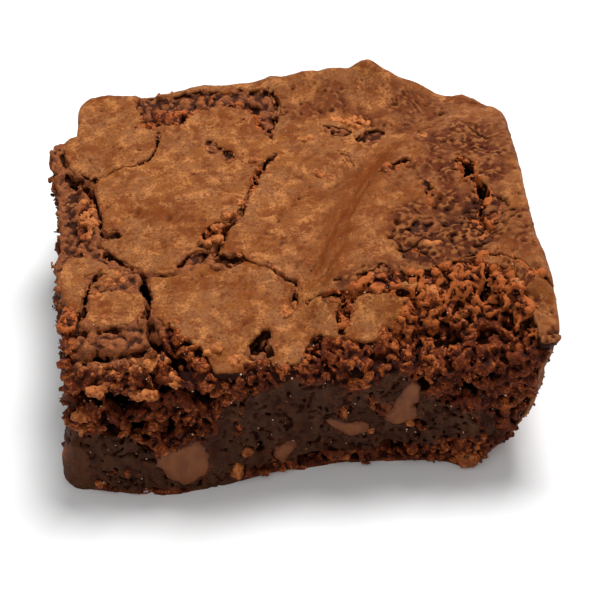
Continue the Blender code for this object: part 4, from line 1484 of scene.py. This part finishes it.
def crumb_material():
    """Granules of many browns and dense dark fudge; painted shade, near black, in the hollows and
    dips, and painted highlight on the peaks.
    """
    n = Nodes("crumb")
    dip = n.mask("dip")
    fudge = n.mask("fudge")
    granular = n.mask("granular")
    tone = n.maths("ADD", n.mask("tone"), n.span(n.noise(0.5, 5.0, 0.75), 0.35, 0.65, -0.3, 0.3))
    # Painted highlight: crumb on the peaks, where the dip is below 0, is made paler.
    tone = n.maths("ADD", tone, n.span(dip, -0.2, 0.0, 0.34, 0.0))
    colour = n.mix(n.span(granular, 0.1, 0.5), bare_colour(n, dip), crumb_colour(n, tone))
    colour = n.mix(fudge, colour, fudge_colour(n))
    # Painted shade: the deeper below the uneroded surface, the nearer to black, and sooner in the fudge.
    sunk = n.maths("MULTIPLY", n.mask("sunk"), n.span(fudge, 0.0, 1.0, 1.0, 2.4))
    colour = n.tint(colour, "shadow", sunk, 0.9, 2.2)
    # Painted shade: dark red-brown in shallow dips, and near black in deeper dips between granules.
    colour = n.tint(colour, "crumb_dark_and_shade", dip, -0.02, 0.1, 0.0, 0.75)
    dips = n.maths("MULTIPLY", n.span(dip, 0.07, 0.27, 0.0, 0.92), n.span(granular, 0.0, 0.5, 0.6, 1.0))
    colour = n.mix(dips, colour, linear("shadow"))
    normal = n.bump(n.noise(0.45, 4.0, 0.7), 0.16, 0.8)
    dull = n.span(sunk, 0.2, 0.8, 0.0, 0.3)
    roughness = n.maths("ADD", n.span(n.noise(0.5, 2.0), 0.3, 0.7, 0.5, 0.75), dull)
    return n.finish(colour, roughness, normal, 0.08)


def grain_material():
    """Single crumbs, glossier than the mass, lighter where they toasted, and with painted shade where they
    lie deep.
    """
    n = Nodes("grains")
    tone = n.maths("ADD", n.mask("tone"), n.span(n.noise(0.5), 0.3, 0.7, -0.15, 0.15))
    normal = n.bump(n.noise(0.3, 4.0, 0.7), 0.14, 0.8)
    roughness = n.span(n.noise(0.4, 2.0), 0.3, 0.7, 0.28, 0.6)
    # Painted shade: grains deep below the uneroded surface are darkened towards black.
    colour = n.tint(crumb_colour(n, tone), "shadow", n.mask("sunk"), 1.2, 2.6)
    return n.finish(colour, roughness, normal, 0.2)


def crust_colour(n):
    """Papery tan, paler, greyer and darker in patches, and golden along the fold and in the troughs."""
    colour = n.tint(linear("crust"), "crust_grey", n.noise(6.0, 4.0, 0.62), 0.38, 0.62)
    colour = n.tint(colour, "crust_light_and_highlight", n.noise(2.2, 5.0, 0.75), 0.48, 0.6)
    colour = n.tint(colour, "crust_golden", n.noise(3.4, 5.0, 0.75), 0.49, 0.6, 0.0, 0.85)
    colour = n.tint(colour, "crust_dark", n.noise(0.5, 4.0, 0.75), 0.45, 0.66, 0.0, 0.7)
    streaks = n.noise(1.2, 3.0, 0.6, (1.0, 0.22, 1.0), (0.0, 0.0, math.radians(-28.0)))
    golden = n.maths("MULTIPLY", n.mask("golden"), n.span(streaks, 0.32, 0.6, 0.45, 1.0))
    return n.mix(golden, colour, linear("crust_golden"))


def crust_material():
    """Tan crust, speckled with pores, dark and grainy where it is rough, and brown below its edges.
    Painted shade falls below its edges and in its dips and valleys, and painted highlight on its ridges.
    """
    n = Nodes("crust")
    dip = n.mask("dip")
    rough = n.mask("rough")
    below = n.mask("below")
    patchy = n.maths("MULTIPLY", rough, n.span(n.noise(3.6, 6.0, 0.8), 0.55, 0.68, 1.0, 0.4))
    colour = n.mix(patchy, crust_colour(n), linear("skin"))
    grainy = n.maths("MULTIPLY", rough, n.span(n.noise(1.0, 5.0, 0.75), 0.36, 0.5, 0.8, 0.0))
    colour = n.mix(grainy, colour, linear("crust_deep_and_shade"))
    colour = n.tint(colour, "crust_dark", n.noise(1.1, 4.0, 0.7), 0.57, 0.66, 0.0, 0.85)
    # Painted highlight: the rough crust's ridges, where the dip is below 0, are made paler.
    ridge_highlight = n.maths("MULTIPLY", rough, n.span(dip, -0.12, -0.02, 0.55, 0.0))
    colour = n.mix(ridge_highlight, colour, linear("crust_light_and_highlight"))
    # Painted shade: near black-brown in the crust's dips and pits.
    colour = n.tint(colour, "crust_deep_and_shade", dip, 0.04, 0.18, 0.0, 0.8)
    # Painted shade: the low cracks and pits of the rough crust's relief are darkened.
    valley_shade = n.maths("MULTIPLY", rough, n.span(n.mask("relief"), -0.9, -0.35, 0.9, 0.0))
    colour = n.mix(valley_shade, colour, linear("crust_deep_and_shade"))
    # Below the top the crust's walls take the crumb's dark brown, then painted shade under the plates' edges.
    colour = n.tint(colour, "crumb_dark_and_shade", below, CRUST_SHOWN - 0.1, CRUST_SHOWN + 0.15)
    colour = n.tint(colour, "shadow", below, CRUST_SHOWN + 0.1, CRUST_SHOWN + 0.5, 0.0, 0.35)
    grit = n.maths("MULTIPLY", n.noise(0.45, 4.0, 0.7), n.span(rough, 0.0, 1.0, 0.35, 1.0))
    normal = n.bump(n.noise(0.9, 5.0, 0.7), 0.25, 0.7)
    normal = n.bump(grit, 0.35, 0.8, normal)
    roughness = n.span(n.noise(0.9, 2.0), 0.3, 0.7, 0.45, 0.75)
    return n.finish(colour, roughness, normal, 0.1)


def chip_material():
    """Milk-brown chocolate, smeared by the knife, redder towards its rim."""
    n = Nodes("chip")
    smear = n.noise(1.4, 3.0, 0.6, (1.0, 1.0, 0.4))
    colour = n.tint(linear("chip"), "chip_light", smear, 0.3, 0.7)
    near_rim = n.span(n.mask("rim"), -1.1, 0.0)
    edge = n.maths("MULTIPLY", near_rim, n.span(n.noise(0.7, 3.0), 0.35, 0.6, 0.3, 1.0))
    colour = n.mix(edge, colour, linear("fudge_red"))
    normal = n.bump(n.noise(0.9, 3.0, 0.55), 0.07, 0.5)
    normal = n.bump(n.noise(0.2, 2.0, 0.5), 0.02, 0.4, normal)
    roughness = n.span(smear, 0.3, 0.7, 0.4, 0.62)
    return n.finish(colour, roughness, normal, 0.15)


def flake_material():
    """Toasted flakes, from golden brown to pale tan, with painted shade in their pits."""
    n = Nodes("flakes")
    tone = n.maths("ADD", n.mask("tone"), n.span(n.noise(0.8, 3.0), 0.3, 0.7, -0.3, 0.3))
    colour = n.tint(linear("flake_dark"), "flake", tone, 0.1, 0.9)
    colour = n.tint(colour, "crumb", n.noise(0.5, 4.0, 0.7), 0.54, 0.66)
    # Painted shade: darker in the flakes' dips and pits.
    colour = n.tint(colour, "crumb_dark_and_shade", n.mask("dip"), 0.02, 0.2, 0.0, 0.9)
    normal = n.bump(n.noise(0.5, 4.0, 0.65), 0.16, 0.7)
    roughness = n.span(n.noise(0.4, 2.0), 0.3, 0.7, 0.4, 0.7)
    return n.finish(colour, roughness, normal, 0.1)


def sugar_glint_material():
    """Pale grains, faintly amber: partly sugar, and partly painted glints of light."""
    n = Nodes("sugar_glint")
    colour = n.tint(linear("sugar_glint"), "crust_light_and_highlight", n.noise(0.4), 0.4, 0.6)
    normal = n.bump(n.noise(0.1), 0.02, 0.4)
    return n.finish(colour, 0.25, normal, 0.5)


def floor_material():
    """A plain pale floor."""
    n = Nodes("floor")
    normal = n.bump(n.noise(2.0), 0.01, 0.1)
    return n.finish(FLOOR_COLOUR, 0.6, normal, 0.3)


def add_camera(shift):
    """The camera, looking down on the front from a little to the right of its middle."""
    data = bpy.data.cameras.new("camera")
    data.lens = CAMERA_LENS
    data.sensor_width = SENSOR
    camera = bpy.data.objects.new("camera", data)
    bpy.context.scene.collection.objects.link(camera)
    tilt = Matrix.Rotation(math.radians(90.0 - CAMERA_ELEVATION), 4, "X")
    roll = Matrix.Rotation(math.radians(-CAMERA_ROLL), 4, "Z")
    target = (Vector(CAMERA_TARGET) + Vector(shift)) * MM
    back = tilt @ Vector((0.0, 0.0, CAMERA_DISTANCE))
    camera.matrix_world = Matrix.Translation(target + back) @ tilt @ roll
    bpy.context.scene.camera = camera


def add_area(name, place, size, power):
    """A square light that shines on the brownie."""
    data = bpy.data.lights.new(name, "AREA")
    data.energy = power
    data.size = size
    light = bpy.data.objects.new(name, data)
    bpy.context.scene.collection.objects.link(light)
    light.location = place
    light.rotation_euler = (Vector(LIGHT_TARGET) - Vector(place)).to_track_quat("-Z", "Y").to_euler()


def add_stage():
    """The floor, the white surroundings and the lights."""
    bpy.ops.mesh.primitive_plane_add(size=FLOOR_SIZE)
    floor = bpy.context.object
    floor.name = "floor"
    floor.data.materials.append(floor_material())
    world = bpy.data.worlds.new("world")
    world.use_nodes = True
    world.node_tree.nodes["Background"].inputs["Color"].default_value = WHITE
    world.node_tree.nodes["Background"].inputs["Strength"].default_value = SKY_STRENGTH
    bpy.context.scene.world = world
    bpy.context.scene.view_settings.view_transform = "Standard"
    for name, (place, size, power) in LIGHTS.items():
        add_area(name, place, size, power)


def plan_shift():
    """From the brownie's own plan to the frame, in mm, read from where two chips lie."""
    low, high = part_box(FRONT_CHIP[0])
    shift_x = (low[0] + high[0]) / 2.0 / MM - FRONT_CHIP[1]
    low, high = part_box(LEFT_CHIP[0])
    shift_y = (low[1] + high[1]) / 2.0 / MM - LEFT_CHIP[1]
    return np.array([shift_x, shift_y, 0.0], dtype=np.float32)


def build_piece(name, grid, field, shift, material, most=MOST_TRIANGLES):
    """One closed piece from a field, thinned out to the triangles allowed."""
    points, faces = read_surface(grid, field)
    if name == "crumb":
        points, faces = keep_largest(points, faces)
    piece = mesh_object(name, points, faces, shift)
    thin_out(piece, most)
    piece.data.materials.append(material)
    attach(piece, "root")
    return piece


def sculpt(grid, rng):
    """Every field that the pieces are made from, by name."""
    plan = make_plan(grid, rng)
    core, crust, outer = make_fields(grid, plan, rng)
    crust = weather_sides(grid, plan, crust, outer)
    chips = chip_cover(grid)
    fudge = fudge_map(grid, rng)
    base = bare_patches(grid, plan, core, rng)
    shown, granular = open_crumb(grid, plan, fudge, chips)
    clusters = smooth(-0.85, -0.25, layered_noise(rng, grid.axes, LAYERS["clusters"]))
    clusters = np.maximum(clusters, smooth(23.0, 25.5, grid.z))
    cuts = find_cuts(grid, plan, rng)
    core = np.maximum(base, -cuts)
    core, tone = roughen(grid, core, shown, shown * granular, shown * fudge, clusters, rng)
    core = seat_chips(grid, np.maximum(core, -cuts - CUT_CLEARED), chips, rng)
    return {"plan": plan, "core": core, "crust": crust, "base": base, "chips": chips, "tone": tone,
            "fudge": fudge, "shown": shown, "granular": granular, "clusters": clusters}


def add_crumb(grid, fields, shift):
    """The crumb, the brownie's body, with its masks."""
    crumb = build_piece("crumb", grid, fields["core"], shift, crumb_material())
    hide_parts("brownie")
    points = vertex_points(crumb, shift)
    add_mask(crumb, "tone", grid.read(fields["tone"], points))
    add_mask(crumb, "fudge", grid.read(fields["fudge"], points))
    # Depth below the uneroded surface, which the material turns into painted shade.
    add_mask(crumb, "sunk", -grid.read(fields["base"], points))
    add_mask(crumb, "granular", grid.read(fields["granular"], points))
    add_mask(crumb, "dip", mesh_hollows(crumb, DIP_PASSES))


def add_crust(grid, fields, shift):
    """The crust over the top and the two baked sides, with its masks."""
    plan, crust = fields["plan"], fields["crust"]
    shell = build_piece("crust", grid, crust, shift, crust_material())
    points = vertex_points(shell, shift)
    relief = grid.read(plan["relief"], points)
    under = grid.read(plan["top"], points) - points[:, 2]
    on_top = smooth(3.0, 2.0, under)
    right, _, back, _ = side_distances(grid)
    inside = -grid.read(round_max(right, back, CORNERS["back_right"]) * np.ones_like(crust), points)
    add_mask(shell, "golden", grid.read(plan["golden"], points))
    # How far below the top each vertex lies, which the material turns into crumb brown and painted shade.
    add_mask(shell, "below", (under + relief) * on_top * smooth(0.5, 0.9, inside))
    add_mask(shell, "relief", relief * on_top)
    add_mask(shell, "rough", np.maximum(grid.read(plan["rough"], points), 0.5 * (1.0 - on_top)))
    add_mask(shell, "dip", mesh_hollows(shell, DIP_PASSES))


def add_loose_pieces(grid, fields, shift, rng):
    """Grains over the open crumb and along the cracks, crumbs round the chips, flakes, and pale grains
    that are partly sugar and partly painted glints of light.
    """
    plan, base, chips = fields["plan"], fields["base"], fields["chips"]
    shown, granular = fields["shown"], fields["granular"]
    surface = np.minimum(fields["core"], fields["crust"])
    read_from = (surface, base, plan["crust"])
    on_crust = plan["granular"][:, :, None] * 0.15 * (grid.z > 22.0)
    by_crack = np.exp(-((plan["crust"] / 0.8) ** 2))[:, :, None] * 0.2 * (grid.z > 22.0)
    loose = np.maximum(shown * (0.05 + granular * fields["clusters"]), np.maximum(on_crust, by_crack))
    loose = loose * (chips > 0.3) * smooth(-1.6, -0.6, base)
    around_chips = np.exp(-((chips / 0.45) ** 2)) * (shown > 0.2)
    glints = np.maximum(around_chips * 0.6, plan["granular"][:, :, None] * 0.1 + 0.01) * (grid.z > 1.0)
    grains = grain_material()
    add_grains("grains", grid, read_from, loose, grains, shift, rng)
    add_grains("granules", grid, read_from, loose, grains, shift, rng)
    add_grains("fine_crumbs", grid, read_from, loose + shown * 0.06, grains, shift, rng)
    add_grains("chip_crumbs", grid, read_from, around_chips, grains, shift, rng)
    # Pale grains that are partly sugar and partly painted glints of light.
    add_grains("sugar_glint", grid, read_from, glints, sugar_glint_material(), shift, rng)
    flake_mesh(grid, surface, shift, rng)


def add_chips(shift, rng):
    """The chocolate chips that the knife cut through, in the front and in the left side."""
    chip_finish = chip_material()
    for index, outline in enumerate(FRONT_CHIPS + LEFT_CHIPS, start=1):
        side = "front" if index <= len(FRONT_CHIPS) else "left"
        piece = chip_piece(f"cut_chip_{index}", outline, side, shift, rng)
        piece.data.materials.append(chip_finish)
        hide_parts(f"chip_{index}")


def main():
    """Sculpt the brownie, make its pieces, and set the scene."""
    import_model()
    shift = plan_shift()
    rng = np.random.default_rng(SEED)
    grid = Grid(GRID_LOW, GRID_HIGH, CELL)
    fields = sculpt(grid, rng)
    add_crumb(grid, fields, shift)
    add_crust(grid, fields, shift)
    add_loose_pieces(grid, fields, shift, rng)
    add_chips(shift, rng)
    add_camera(shift)
    add_stage()


main()
